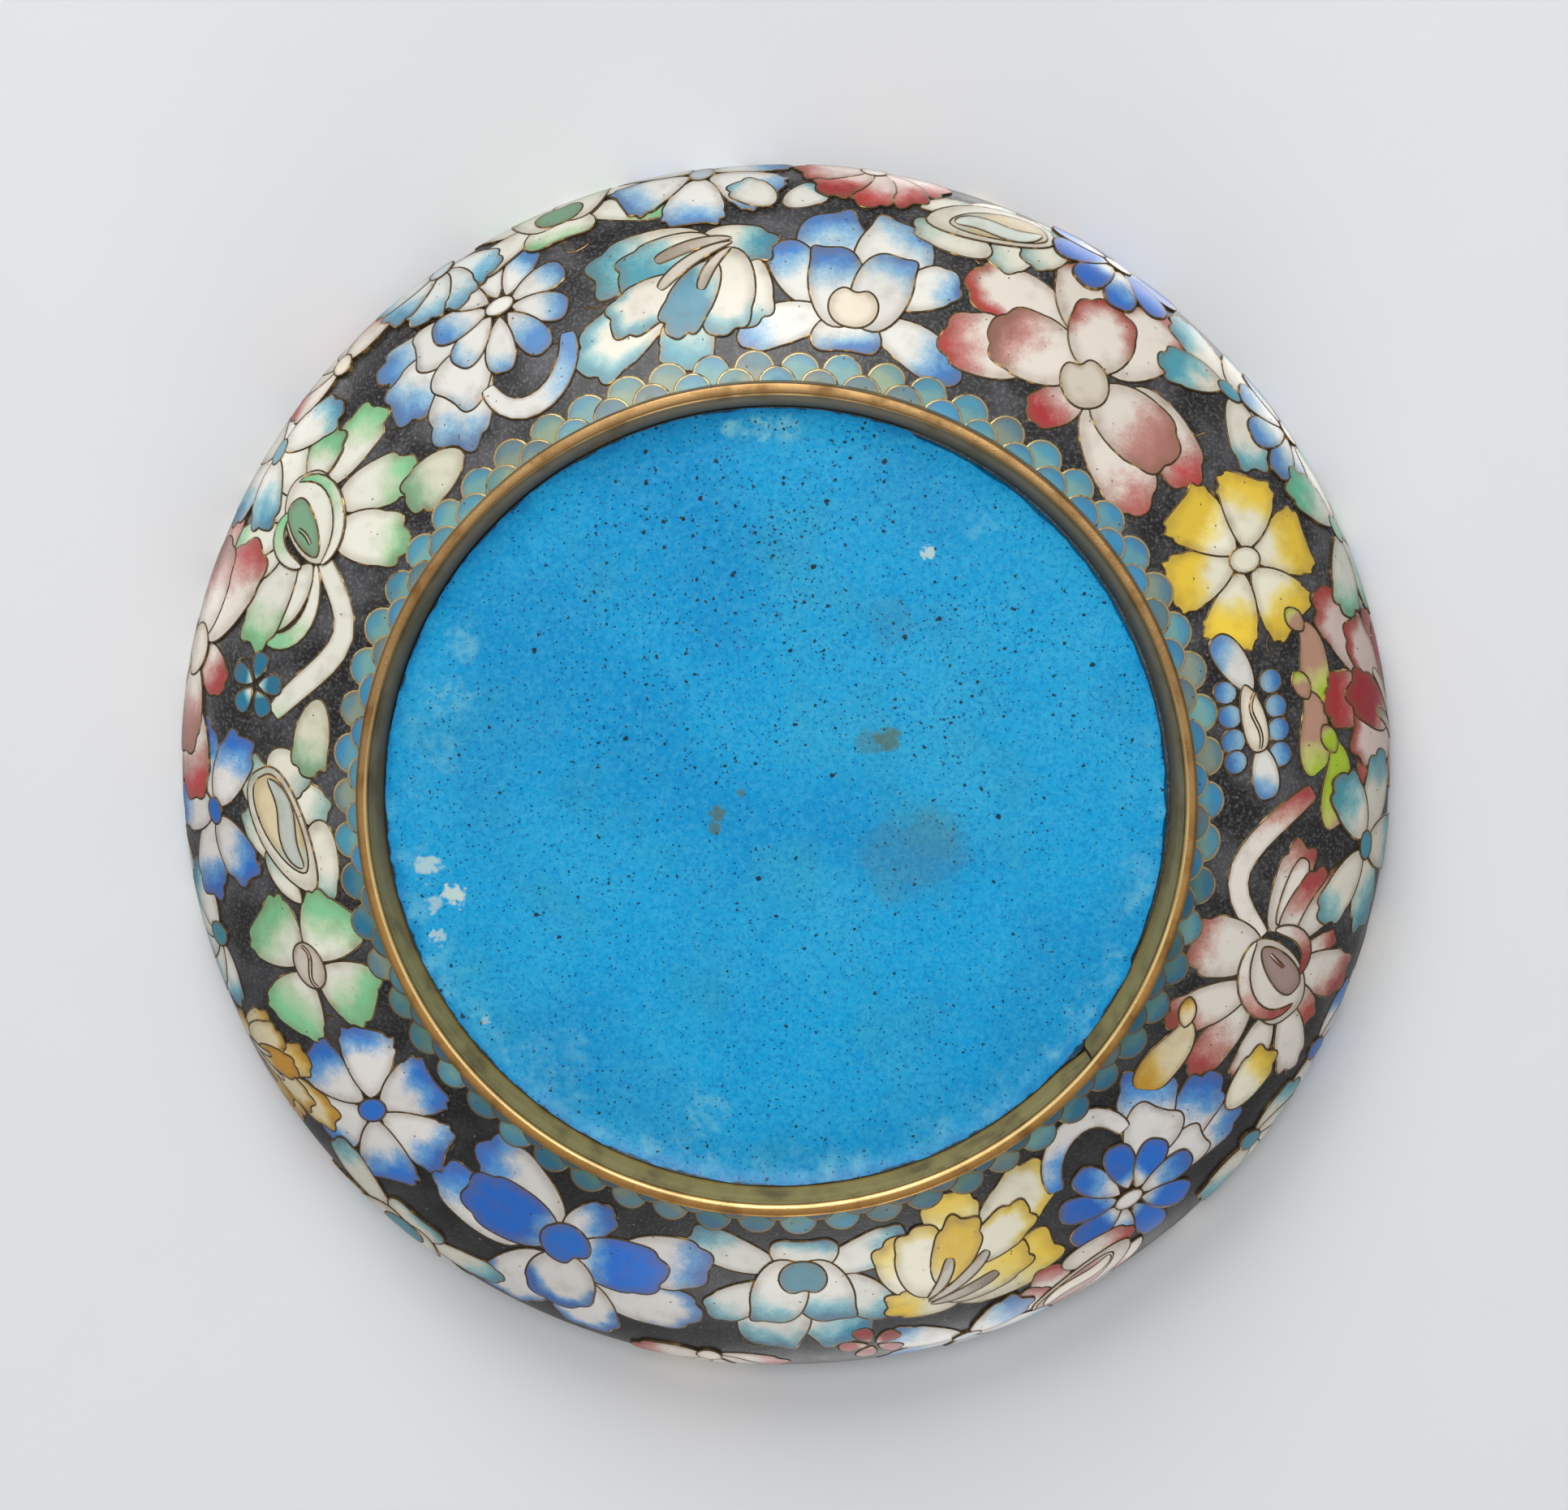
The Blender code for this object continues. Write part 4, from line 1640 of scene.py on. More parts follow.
class Workbench:
    """Makes the blanks, once each."""

    WIRE_LINE = 0.9
    TIP_CROWD = 0.5

    def __init__(self, name: str, sides: int, rings: Sequence[float]) -> None:
        """Makes the blanks.

        Args:
            name: a word for the blanks' names.
            sides: how many corners a large cell's outline has.
            rings: the large cells' inner rings, as shares of their width.
        """
        self.large = self._plate(f"blank_{name}_large", sides, rings)
        self.small = self._plate(f"blank_{name}_small", 20, (0.55,))
        self.strip = self._ribbon(f"blank_{name}_strip", 18, 4)
        self.thread = self._ribbon(f"blank_{name}_thread", 10, 1)

    def _corners(self, mesh: bpy.types.Mesh) -> Array:
        """The corners of a blank as an array."""
        return np.array([corner.co for corner in mesh.vertices])

    def _plate(self, name: str, sides: int, rings: Sequence[float]) -> Blank:
        """Makes a round plate with inner rings, a band for the wire, and a skirt.

        Args:
            name: the mesh's name.
            sides: how many corners its outline has.
            rings: the inner rings, as shares of its width.

        Returns:
            The blank.
        """
        profile = [(0.0, 0.0)] + [(ring * self.WIRE_LINE, 0.0) for ring in rings]
        profile += [(self.WIRE_LINE, 0.0), (1.0, 0.0), (1.0, -1.0), (0.0, -1.0)]
        bm = bmesh.new()
        turned(bm, profile, sides, 0)
        bmesh.ops.remove_doubles(bm, verts=bm.verts, dist=WELD)
        bmesh.ops.recalc_face_normals(bm, faces=bm.faces)
        for face in bm.faces:
            reach = min(math.hypot(corner.co.x, corner.co.y) for corner in face.verts)
            level = max(corner.co.z for corner in face.verts) - min(corner.co.z for corner in face.verts)
            face.material_index = 1 if reach > self.WIRE_LINE - 0.01 or level > 0.5 else 0
            face.smooth = level < 0.5
        mesh = mesh_from(name, bm)
        corners = self._corners(mesh)
        reach = np.hypot(corners[:, 0], corners[:, 1])
        steps = np.round(np.arctan2(corners[:, 1], corners[:, 0]) / FULL_TURN * sides) % sides
        turn = steps / sides * FULL_TURN
        edge, sunk = reach > 0.95, corners[:, 2] < -0.5
        outer = np.flatnonzero(edge & ~sunk)
        return Blank(
            mesh, turn + self.TIP_CROWD * np.sin(turn), np.minimum(reach / self.WIRE_LINE, 1.0),
            edge, np.abs(reach - self.WIRE_LINE) < 0.01, sunk,
            outer[np.argsort(turn[outer])], np.flatnonzero(~edge & ~sunk), False,
        )

    def _ribbon(self, name: str, rows: int, columns: int) -> Blank:
        """Makes a long plate, closed underneath.

        Args:
            name: the mesh's name.
            rows, columns: how many faces long and wide it is.

        Returns:
            The blank.
        """
        bm = bmesh.new()
        bmesh.ops.create_grid(bm, x_segments=rows, y_segments=columns, size=1.0)
        bmesh.ops.solidify(bm, geom=bm.faces, thickness=1.0)
        top = max(corner.co.z for corner in bm.verts)
        for corner in bm.verts:
            corner.co.z -= top
        bmesh.ops.recalc_face_normals(bm, faces=bm.faces)
        for face in bm.faces:
            middle = face.calc_center_median()
            inside = abs(middle.y) < 0.5 and abs(middle.x) < 1 - 2 / rows and columns > 1
            face.material_index = 0 if inside else 1
            face.smooth = abs(face.normal.z) > 0.5
        mesh = mesh_from(name, bm)
        corners = self._corners(mesh)
        turn, side = (corners[:, 0] + 1) / 2 * math.pi, corners[:, 1]
        sunk = corners[:, 2] < -0.5
        sides = [np.flatnonzero((side * way > 0.95) & ~sunk) for way in (1, -1)]
        there, back = (line[np.argsort(turn[line])] for line in sides)
        return Blank(
            mesh, turn, side, np.abs(side) > 0.95, np.abs(np.abs(side) - 0.5) < 0.01, sunk,
            np.concatenate([there, back[::-1]]), np.flatnonzero((np.abs(side) < 0.6) & ~sunk), True,
        )


class Spine:
    """The bent middle line of a cell."""

    STEPS = 40

    def __init__(self, points: Sequence[Point]) -> None:
        """Bends a smooth line.

        Args:
            points: its two ends, with guide points between them.
        """
        t = np.linspace(0.0, 1.0, self.STEPS)[:, None]
        line = [np.array(point, float)[None, :] + 0 * t for point in points]
        while len(line) > 1:
            line = [a * (1 - t) + b * t for a, b in zip(line, line[1:])]
        self.line = line[0]
        steps = np.diff(self.line, axis=0)
        self.reach = np.concatenate([[0.0], np.cumsum(np.hypot(steps[:, 0], steps[:, 1]))])
        self.length = float(self.reach[-1])
        slope = np.gradient(self.line, self.reach, axis=0)
        self.slope = slope / np.hypot(slope[:, 0], slope[:, 1])[:, None]

    def bend(self, along: Array, across: Array) -> Array:
        """Moves straight places onto the bent line.

        Args:
            along, across: how far from the line's start and to its side each is.

        Returns:
            The bent places.
        """
        held = np.clip(along, 0.0, self.length)
        spot = [np.interp(held, self.reach, self.line[:, i]) for i in (0, 1)]
        slope = [np.interp(held, self.reach, self.slope[:, i]) for i in (0, 1)]
        past = along - held
        return np.stack(
            [spot[0] + slope[0] * past + slope[1] * across, spot[1] + slope[1] * past - slope[0] * across],
            axis=1,
        )


@dataclass
class Cutter:
    """Shapes a blank to a cell's outline."""

    wire: float = 0.23
    middle: float = 0.55
    tip_span: float = 1.3
    notch_width: float = 0.26
    beak_place: float = 0.50
    beak_width: float = 0.24

    def half_width(self, turn: Array, shears: Shears) -> Array:
        """Half the outline's width at each angle round it.

        Args:
            turn: the angles.
            shears: how it is cut.

        Returns:
            The half widths, at most 1.
        """
        def raw(angle: Array) -> Array:
            """The width before it is scaled."""
            return (
                np.abs(np.sin(angle)) ** shears.blunt
                * np.abs(np.sin(angle / 2)) ** shears.root
                * np.abs(np.cos(angle / 2)) ** shears.tip
            )

        return raw(turn) / raw(np.linspace(0.02, math.pi - 0.02, 90)).max()

    def outline(
        self, turn: Array, length: float, width: float, shears: Shears, sway: float
    ) -> Array:
        """The outline's places at each angle, waved, notched and beaked.

        Args:
            turn: the angles, from 0 at the root to pi at the tip.
            length, width: the cell's size.
            shears: how it is cut.
            sway: how far its lobes are moved round, as a share of the tip.

        Returns:
            The (along, across) places.
        """
        along = length * (1 - np.cos(turn)) / 2
        across = width / 2 * self.half_width(turn, shears) * np.sign(np.sin(turn) + 1e-9)
        past = (turn - math.pi) / self.tip_span
        factor = 1 - shears.notch * np.exp(-(((turn - math.pi) / self.notch_width) ** 2))
        place = math.pi - math.copysign(self.beak_place, shears.beak)
        factor = factor + abs(shears.beak) * np.exp(-(((turn - place) / self.beak_width) ** 2))
        if shears.lobes:
            wave = 2 * np.abs(np.cos(math.pi * (past + sway) * shears.lobes / 2)) - 1
            factor = factor + shears.frill * wave * np.clip(1.4 - past**2, 0.0, 1.0)
        centre = self.middle * length
        return np.stack([centre + (along - centre) * factor, across * factor], axis=1)

    def shape(
        self, blank: Blank, cell: Cell, scale: float, sway: float = 0.0
    ) -> tuple[Array, Array, Array]:
        """Shapes a blank.

        Args:
            blank: the blank.
            cell: the cell to make of it.
            scale: the flower's scale, so that the wire keeps its width.
            sway: how far the lobes are moved round the tip.

        Returns:
            The corners' flat places, and how far along and across the cell each is.
        """
        shears = cell.cut.value
        path = list(cell.path)
        if len(path) == 2 and shears.lean:
            (x0, y0), (x1, y1) = path
            side = shears.lean * cell.width / math.hypot(x1 - x0, y1 - y0)
            path.insert(1, ((x0 + x1) / 2 + (y1 - y0) * side, (y0 + y1) / 2 - (x1 - x0) * side))
        spine = Spine(path)
        wire = self.wire / scale
        if blank.strip:
            places = self._strip(blank, spine.length, cell.width, shears, wire)
        else:
            places = self._plate(blank, spine.length, cell.width, shears, wire, sway)
        flat = spine.bend(places[:, 0], places[:, 1])
        return flat, places[:, 0] / spine.length, places[:, 1] / cell.width * 2

    def _plate(
        self, blank: Blank, length: float, width: float, shears: Shears, wire: float, sway: float
    ) -> Array:
        """Places for the corners of a round blank.

        Args:
            blank: the blank.
            length, width, shears, sway: as the outline's.
            wire: the wire's width.

        Returns:
            The (along, across) places.
        """
        step = 0.02
        edge, ahead, behind = (
            self.outline(blank.turn + shift, length, width, shears, sway) for shift in (0.0, step, -step)
        )
        slope = ahead - behind
        slope /= np.maximum(np.hypot(slope[:, 0], slope[:, 1]), 1e-9)[:, None]
        inner = edge + np.stack([slope[:, 1], -slope[:, 0]], axis=1) * wire
        crossed = inner[:, 1] * edge[:, 1] <= 0
        inner[crossed, 1] = edge[crossed, 1] * 0.15
        centre = np.array([[self.middle * length, 0.0]])
        places = centre + (inner - centre) * blank.share[:, None]
        places[blank.edge] = edge[blank.edge]
        return places

    def _strip(
        self, blank: Blank, length: float, width: float, shears: Shears, wire: float
    ) -> Array:
        """Places for the corners of a long blank.

        Args:
            blank: the blank.
            length, width, shears: as the outline's.
            wire: the wire's width.

        Returns:
            The (along, across) places.
        """
        held = np.clip(blank.turn, 0.18, math.pi - 0.18)
        half = width / 2 * self.half_width(held, shears)
        half = np.where(np.abs(blank.turn - held) > 0.1, half * 0.5, half)
        side = np.sign(blank.share)
        inner = np.maximum(half - wire, half * 0.25)
        across = np.where(blank.edge, half, np.where(blank.rim, inner, 0.0)) * side
        return np.stack([length * (1 - np.cos(blank.turn)) / 2, across], axis=1)


class Stack:
    """Finds how high each new cell lies, to clear those that are there."""

    def __init__(self) -> None:
        """Starts with bare ground."""
        self.laid: list[tuple[Array, Array, float, float, float, float, int]] = []

    @staticmethod
    def _inside(points: Array, outline: Array) -> bool:
        """Tries points against an outline.

        Args:
            points: the points.
            outline: its corners, in order.

        Returns:
            Whether any of the points is inside it.
        """
        x, y = points[:, :1], points[:, 1:]
        x0, y0 = outline[:, 0], outline[:, 1]
        x1, y1 = np.roll(x0, -1), np.roll(y0, -1)
        spans = (y0 > y) != (y1 > y)
        crossing = x0 + (x1 - x0) * (y - y0) / np.where(y1 == y0, 1.0, y1 - y0)
        return bool(((spans & (x < crossing)).sum(axis=1) % 2).any())

    def add(self, outline: Array, core: Array) -> int:
        """Adds a cell.

        Args:
            outline: its (bearing, run) corners, in order.
            core: places well inside it.

        Returns:
            Its level: one more than the highest that it lies over.
        """
        middle_x, middle_y = (float(value) for value in outline.mean(axis=0))
        half_x, half_y = (float(value) for value in np.abs(outline - (middle_x, middle_y)).max(axis=0))
        level = 0
        for other, other_core, x, y, wide, high, its_level in self.laid:
            turns = round((x - middle_x) / FULL_TURN)
            if its_level < level or abs(y - middle_y) > half_y + high:
                continue
            if abs(x - middle_x - turns * FULL_TURN) > half_x + wide:
                continue
            shift = np.array([turns * FULL_TURN, 0.0])
            if self._inside(core + shift, other) or self._inside(other_core - shift, outline):
                level = its_level + 1
        self.laid.append((outline, core, middle_x, middle_y, half_x, half_y, level))
        return level


@dataclass
class Sheet:
    """Enamel cells laid on a turned surface and gathered into one piece.

    ground is the surface, bench the blanks, stack what lies there already, seed the
    seed of its unevenness and wire the wire's width. A cell stands base over the
    surface, and step more for each cell under it, and its skirt goes down into the
    surface. slip is how far a hand bends it off its design, and one smaller than
    small is made of a small blank. Lengths are in millimetres.
    """

    name: str
    ground: Meridian
    bench: Workbench
    stack: Stack
    seed: int
    wire: float = 0.23
    base: float = 0.045
    step: float = 0.026
    skirt: float = 0.12
    slip: float = 0.18
    small: float = 5.4
    thread_height: float = 0.020
    thread_skirt: float = 0.10
    blanks: list[Blank] = field(default_factory=list)
    places: list[Array] = field(default_factory=list)
    along: list[Array] = field(default_factory=list)
    rims: list[Array] = field(default_factory=list)
    tints: list[tuple[Colour, Colour, Colour]] = field(default_factory=list)

    def __post_init__(self) -> None:
        """Sets up the cutter and the seeded chance."""
        self.cutter = Cutter(wire=self.wire)
        self.chance = random.Random(self.seed)

    def _off(self, most: float) -> float:
        """A chance number, at most this far from 0."""
        return self.chance.uniform(-most, most)

    def _uneven(self, cell: Cell, mirrored: bool) -> Cell:
        """Bends a cell a little off its design, as a hand would.

        Args:
            cell: the design's cell.
            mirrored: whether the flower is turned over.

        Returns:
            The bent cell.
        """
        side = -1.0 if mirrored else 1.0
        path = tuple((side * x + self._off(self.slip), y + self._off(self.slip)) for x, y in cell.path)
        return replace(cell, path=path, width=cell.width * self.chance.uniform(0.95, 1.05))

    def _tints(self, dye: Dye, wash: Wash) -> tuple[Colour, Colour, Colour]:
        """Chooses a cell's colours, a little off its palette.

        Args:
            dye: the palette.
            wash: how the cell is shaded.

        Returns:
            The colours of its root, middle and tip.
        """
        colours = dye.value
        tip = colours.heart if wash.heart else colours.deep if wash.strong else colours.tip
        middle = colours.heart if wash.heart else colours.middle
        light = self.chance.uniform(0.88, 1.03)
        strong = self.chance.uniform(0.84, 1.14)
        return (
            tuple(min(1.0, channel * light) for channel in colours.light),
            tuple(min(1.0, channel * light) for channel in middle),
            tuple(min(1.0, channel * strong) for channel in tip),
        )

    def grow(self, bloom: Bloom) -> None:
        """Lays one flower.

        Args:
            bloom: the flower.
        """
        turn = math.radians(bloom.turn)
        cos, sin = math.cos(turn) * bloom.scale * MM, math.sin(turn) * bloom.scale * MM
        spin = np.array([[cos, sin], [-sin, cos]])
        for design in bloom.cells:
            cell = self._uneven(design, bloom.mirrored)
            size = max(math.dist(cell.path[0], cell.path[-1]), cell.width) * bloom.scale
            blank = self.bench.small if size < self.small else self.bench.large
            if len(cell.path) > 2:
                blank = self.bench.strip
            flat, along, across = self.cutter.shape(blank, cell, bloom.scale, self._off(0.35))
            chart = self.ground.chart(math.radians(bloom.bearing), bloom.run * MM, flat @ spin)
            height = self.base + self.step * self.stack.add(chart[blank.loop], chart[blank.core])
            self.places.append(self.ground.lay(chart, np.where(blank.sunk, -self.skirt, height) * MM))
            wash = cell.tone.value
            start = wash.start + self._off(0.10)
            rim = np.where(blank.edge | blank.rim, 1.0, np.abs(blank.share))
            rimmed = rim * np.minimum(1.0, 1.7 * np.maximum(along, 0.0))
            shade = along * (1 - wash.edge) + wash.edge * rimmed + across * self._off(0.20)
            self.along.append(np.clip((shade - start) / wash.soft, -2.0, 3.0))
            self.rims.append(rim)
            self.tints.append(self._tints(cell.dye or bloom.dye, wash))
            self.blanks.append(blank)

    def thread(self, bearing: float, run: float, path: Sequence[Point], width: float) -> None:
        """Lays a bare wire along a bent line.

        Args:
            bearing: its bearing in degrees.
            run: its place along the outline, in millimetres.
            path: its guide points, in millimetres.
            width: its width, in millimetres.
        """
        blank = self.bench.thread
        flat, along, _ = self.cutter.shape(blank, Cell(tuple(path), width, Cut.BAND), 1.0)
        chart = self.ground.chart(math.radians(bearing), run * MM, flat * MM)
        lift = np.where(blank.sunk, -self.thread_skirt, self.thread_height)
        self.places.append(self.ground.lay(chart, lift * MM))
        self.along.append(along)
        self.rims.append(np.ones(len(along)))
        self.tints.append((srgb(0, 0, 0),) * 3)
        self.blanks.append(blank)

    def finish(self, enamel: Finish, wire: Finish) -> Piece:
        """Makes the piece.

        Args:
            enamel, wire: its two materials.

        Returns:
            The piece.
        """
        bm = bmesh.new()
        for blank in self.blanks:
            bm.from_mesh(blank.mesh)
        mesh = mesh_from(self.name, bm)
        mesh.vertices.foreach_set("co", np.concatenate(self.places).ravel())
        for name, values in (("along", self.along), ("rim", self.rims)):
            layer = mesh.attributes.new(name, "FLOAT", "POINT")
            layer.data.foreach_set("value", np.concatenate(values))
        for i, name in enumerate(TINTS):
            layer = mesh.attributes.new(name, "FLOAT_COLOR", "POINT")
            pairs = zip(self.tints, self.places)
            colours = [np.tile((*tints[i], 1.0), (len(places), 1)) for tints, places in pairs]
            layer.data.foreach_set("color", np.concatenate(colours).ravel())
        mesh.update()
        mesh.materials.append(enamel)
        mesh.materials.append(wire)
        return in_scene(self.name, mesh)


@dataclass(frozen=True)
class ScaleBand:
    """A row of overlapping round scales of mixed blue-green, with painted light: lighter dyes on the side
    above and deeper dyes as painted shade on the side below.
    """

    count: int
    size: float
    run: float
    shift: float = 0.0

    def lay(self, sheet: Sheet) -> None:
        """Lays the row.

        Args:
            sheet: the sheet to lay it on.
        """
        # painted light: lighter dyes on the side above, some of them worn and mossy, and deeper dyes as
        # painted shade on the side below
        sunlit = (Dye.SCALE_SEA, Dye.SCALE_SEA, Dye.SCALE_SKY, Dye.SCALE_SKY, Dye.SCALE_SLATE)
        wear_and_painted_light = (Dye.SCALE_SEA, Dye.SCALE_SEA, Dye.SCALE_MOSS, Dye.SCALE_SKY, Dye.SCALE_SLATE)
        deep = (Dye.SCALE_DEEP, Dye.SCALE_DEEP, Dye.SCALE_TEAL, Dye.SCALE_SEA, Dye.SCALE_SLATE)
        half = self.size / 2
        cells = (petal((0.0, -half), (0.0, half), self.size, Cut.ROUND),)
        for i in range(self.count):
            bearing = 360.0 * (i + self.shift) / self.count
            dyes = deep if 10 < bearing < 170 else wear_and_painted_light if 225 < bearing < 285 else sunlit
            sheet.grow(Bloom(cells, bearing, self.run, sheet.chance.choice(dyes)))


@dataclass(frozen=True)
class Scrolls:
    """Little C-shaped wires, scattered over the ground from low to high on its outline."""

    count: int
    high: float
    low: float = 6.0
    size: float = 2.1
    width: float = 0.26

    def lay(self, sheet: Sheet) -> None:
        """Lays the wires.

        Args:
            sheet: the sheet to lay them on.
        """
        chance = sheet.chance
        for _ in range(self.count):
            start = chance.uniform(0, FULL_TURN)
            sweep = chance.choice((-1, 1)) * chance.uniform(3.4, 5.0)
            reach = self.size * chance.uniform(0.7, 1.2)
            curl = []
            for t in (0.0, 0.33, 0.66, 1.0):
                turn, away = start + sweep * t, reach * (1.25 - 0.5 * t)
                curl.append((away * math.cos(turn), away * math.sin(turn)))
            sheet.thread(chance.uniform(0, 360), chance.uniform(self.low, self.high), curl, self.width)


def centred(cells: Sequence[Cell]) -> tuple[tuple[Cell, ...], float]:
    """Moves a design's middle to its origin.

    Args:
        cells: the design.

    Returns:
        The moved cells, and their reach from the middle in millimetres.
    """
    points = [point for cell in cells for point in (cell.path[0], cell.path[-1])]
    middle = [(min(values) + max(values)) / 2 for values in zip(*points)]
    moved = tuple(
        replace(cell, path=tuple((x - middle[0], y - middle[1]) for x, y in cell.path)) for cell in cells
    )
    reach = max(math.dist(point, middle) for point in points)
    return moved, reach


@dataclass
class Sower:
    """Scatters flowers over a belt of a hidden side, the large ones first."""

    ground: Meridian
    low: float
    high: float
    chance: random.Random
    taken: list[tuple[Array, float]] = field(default_factory=list)

    def sow(
        self, motifs: Sequence[Motif], dyes: Sequence[Dye], scale: float, tries: int, close: float
    ) -> list[Bloom]:
        """Places flowers wherever there is room for them.

        Args:
            motifs, dyes: what to choose from.
            scale: their mean scale.
            tries: how many places to try.
            close: how near two flowers may grow, as a share of their reaches.

        Returns:
            The flowers.
        """
        grown = []
        for _ in range(tries):
            cells, reach = centred(self.chance.choice(motifs).value)
            size = scale * self.chance.uniform(0.88, 1.12)
            bearing, run = self.chance.uniform(0, 360), self.chance.uniform(self.low, self.high)
            chart = self.ground.chart(math.radians(bearing), run * MM, np.zeros((1, 2)))
            spot = self.ground.lay(chart, np.zeros(1))[0] / MM
            reach *= size
            if any(
                np.linalg.norm(spot - other) < (reach + other_reach) * close
                for other, other_reach in self.taken
            ):
                continue
            self.taken.append((spot, reach))
            grown.append(Bloom(
                cells, bearing, run, self.chance.choice(dyes), self.chance.uniform(-180, 180), size,
                self.chance.random() < 0.5,
            ))
        return grown


@dataclass
class Garden:
    """All the enamelled flowers, bands and scrolls of the jar."""

    cupboard: Cupboard
    body: Meridian
    lid: Meridian
    large: tuple[Motif, ...] = (
        Motif.GREAT_PEONY, Motif.DARK_PEONY, Motif.LOTUS, Motif.STAMEN_PEONY, Motif.CHRYSANTHEMUM,
        Motif.ASTER, Motif.BOUQUET, Motif.COSMOS,
    )
    medium: tuple[Motif, ...] = (
        Motif.DAISY, Motif.ORCHID, Motif.ROLLED_BUD, Motif.CLOVER, Motif.FAN, Motif.COSMOS,
    )
    small: tuple[Motif, ...] = (
        Motif.POSY, Motif.DROP_LEAF, Motif.TWIN_LEAF, Motif.LEAF_PAIR, Motif.SPRIG,
    )
    dyes: tuple[Dye, ...] = (
        Dye.ROSE, Dye.SKY, Dye.YELLOW, Dye.COBALT, Dye.MINT, Dye.LAGOON, Dye.BLUSH, Dye.TURQUOISE,
        Dye.CREAM, Dye.HONEY, Dye.CRIMSON, Dye.ICE,
    )
    scale_wire: float = 0.20

    def __post_init__(self) -> None:
        """Makes the blanks: fine ones for the side that the photograph shows."""
        self.fine = Workbench("fine", 44, (0.28, 0.54, 0.78))
        self.spare = Workbench("spare", 26, (0.36, 0.70))

    def flank(self) -> list[Bloom]:
        """Sets the flowers out round the foot, as on the real jar.

        Returns:
            The flowers.
        """
        M = Motif
        rows = (
            (M.LOTUS, 278.7, 10.0, Dye.SKY_CREAM), (M.LOTUS, 87.1, 10.4, Dye.LAGOON),
            (M.STAMEN_PEONY, 264.6, 17.4, Dye.TURQUOISE), (M.STAMEN_PEONY, 73.5, 16.9, Dye.YELLOW),
            (M.GREAT_PEONY, 306.4, 12.2, Dye.ROSE), (M.DARK_PEONY, 114.9, 12.2, Dye.COBALT),
            (M.CHRYSANTHEMUM, 209.2, 15.8, Dye.MINT), (M.ASTER, 19.9, 14.5, Dye.BLUSH),
            (M.ROLLED_BUD, 175.4, 10.1, Dye.BUD), (M.ROLLED_BUD, 290.7, 25.9, Dye.BUD),
            (M.BOUQUET, 239.9, 19.0, Dye.SKY), (M.DARK_BOUQUET, 49.6, 17.4, Dye.COBALT),
            (M.RICH_COSMOS, 333.2, 13.4, Dye.YELLOW), (M.COSMOS, 141.5, 14.4, Dye.COBALT),
            (M.CLOVER, 159.2, 11.6, Dye.MINT), (M.BERRY_SPRAY, 350.6, 8.3, Dye.SKY),
            (M.TWIN_LEAF, 346.4, 18.0, Dye.LIME), (M.TWIN_LEAF, 353.5, 16.4, Dye.LIME),
            (M.TWIN_LEAF, 359.4, 19.5, Dye.LIME_BACK), (M.STAMEN_PEONY, 356.0, 33.0, Dye.CRIMSON),
            (M.ORCHID, 5.8, 25.0, Dye.TURQUOISE), (M.FAN, 26.9, 29.0, Dye.COBALT),
            (M.TWIN_LEAF, 33.7, 7.2, Dye.HONEY), (M.DROP_LEAF, 32.2, 18.9, Dye.YELLOW),
            (M.FAN, 37.7, 27.0, Dye.TURQUOISE), (M.ROLLED_BUD, 59.0, 25.5, Dye.ROSE),
            (M.ORCHID, 71.7, 28.0, Dye.SKY), (M.POSY, 80.8, 24.0, Dye.BLUSH),
            (M.FAN, 97.1, 26.5, Dye.ROSE), (M.LOTUS, 129.7, 28.7, Dye.TURQUOISE),
            (M.FAN, 164.4, 25.5, Dye.LAGOON), (M.ORCHID, 177.1, 21.5, Dye.COBALT),
            (M.POSY, 191.0, 16.0, Dye.LAGOON), (M.DROP_LEAF, 187.2, 6.8, Dye.SAGE),
            (M.GREAT_PEONY, 192.2, 28.6, Dye.ROSE), (M.ORCHID, 213.1, 28.1, Dye.LAGOON),
            (M.FAN, 223.3, 28.7, Dye.ROSE), (M.DROP_LEAF, 223.3, 6.4, Dye.SAGE),
            (M.LOTUS, 248.4, 30.0, Dye.MINT), (M.COSMOS, 262.3, 31.0, Dye.SKY),
            (M.LEAF_PAIR, 269.8, 23.6, Dye.LAGOON), (M.DARK_DAISY, 303.0, 31.7, Dye.COBALT),
            (M.ORCHID, 318.5, 26.4, Dye.TURQUOISE), (M.DAISY, 325.5, 32.0, Dye.SKY),
            (M.ORCHID, 335.5, 30.5, Dye.JADE),
        )
        blooms = [Bloom(motif.value, bearing, run, dye) for motif, bearing, run, dye in rows]
        blooms.append(Bloom(M.FAN.value, 278.5, 33.0, Dye.CRIMSON, turn=180.0))
        blooms.append(Bloom(M.STAMEN_PEONY.value, 153.5, 29.0, Dye.HONEY, scale=0.7))
        blooms.append(Bloom(M.FAN.value, 236.0, 31.5, Dye.ICE, turn=150.0))
        return blooms

    def _laid(self, sheet: Sheet, designs: Sequence[Any], wire: Finish) -> Piece:
        """Lays flowers, rows of scales or scrolls on a sheet.

        Args:
            sheet: the sheet.
            designs: what to lay, in order.
            wire: the brass of its wires.

        Returns:
            The piece.
        """
        for design in designs:
            design.lay(sheet)
        return sheet.finish(self.cupboard.petals, wire)

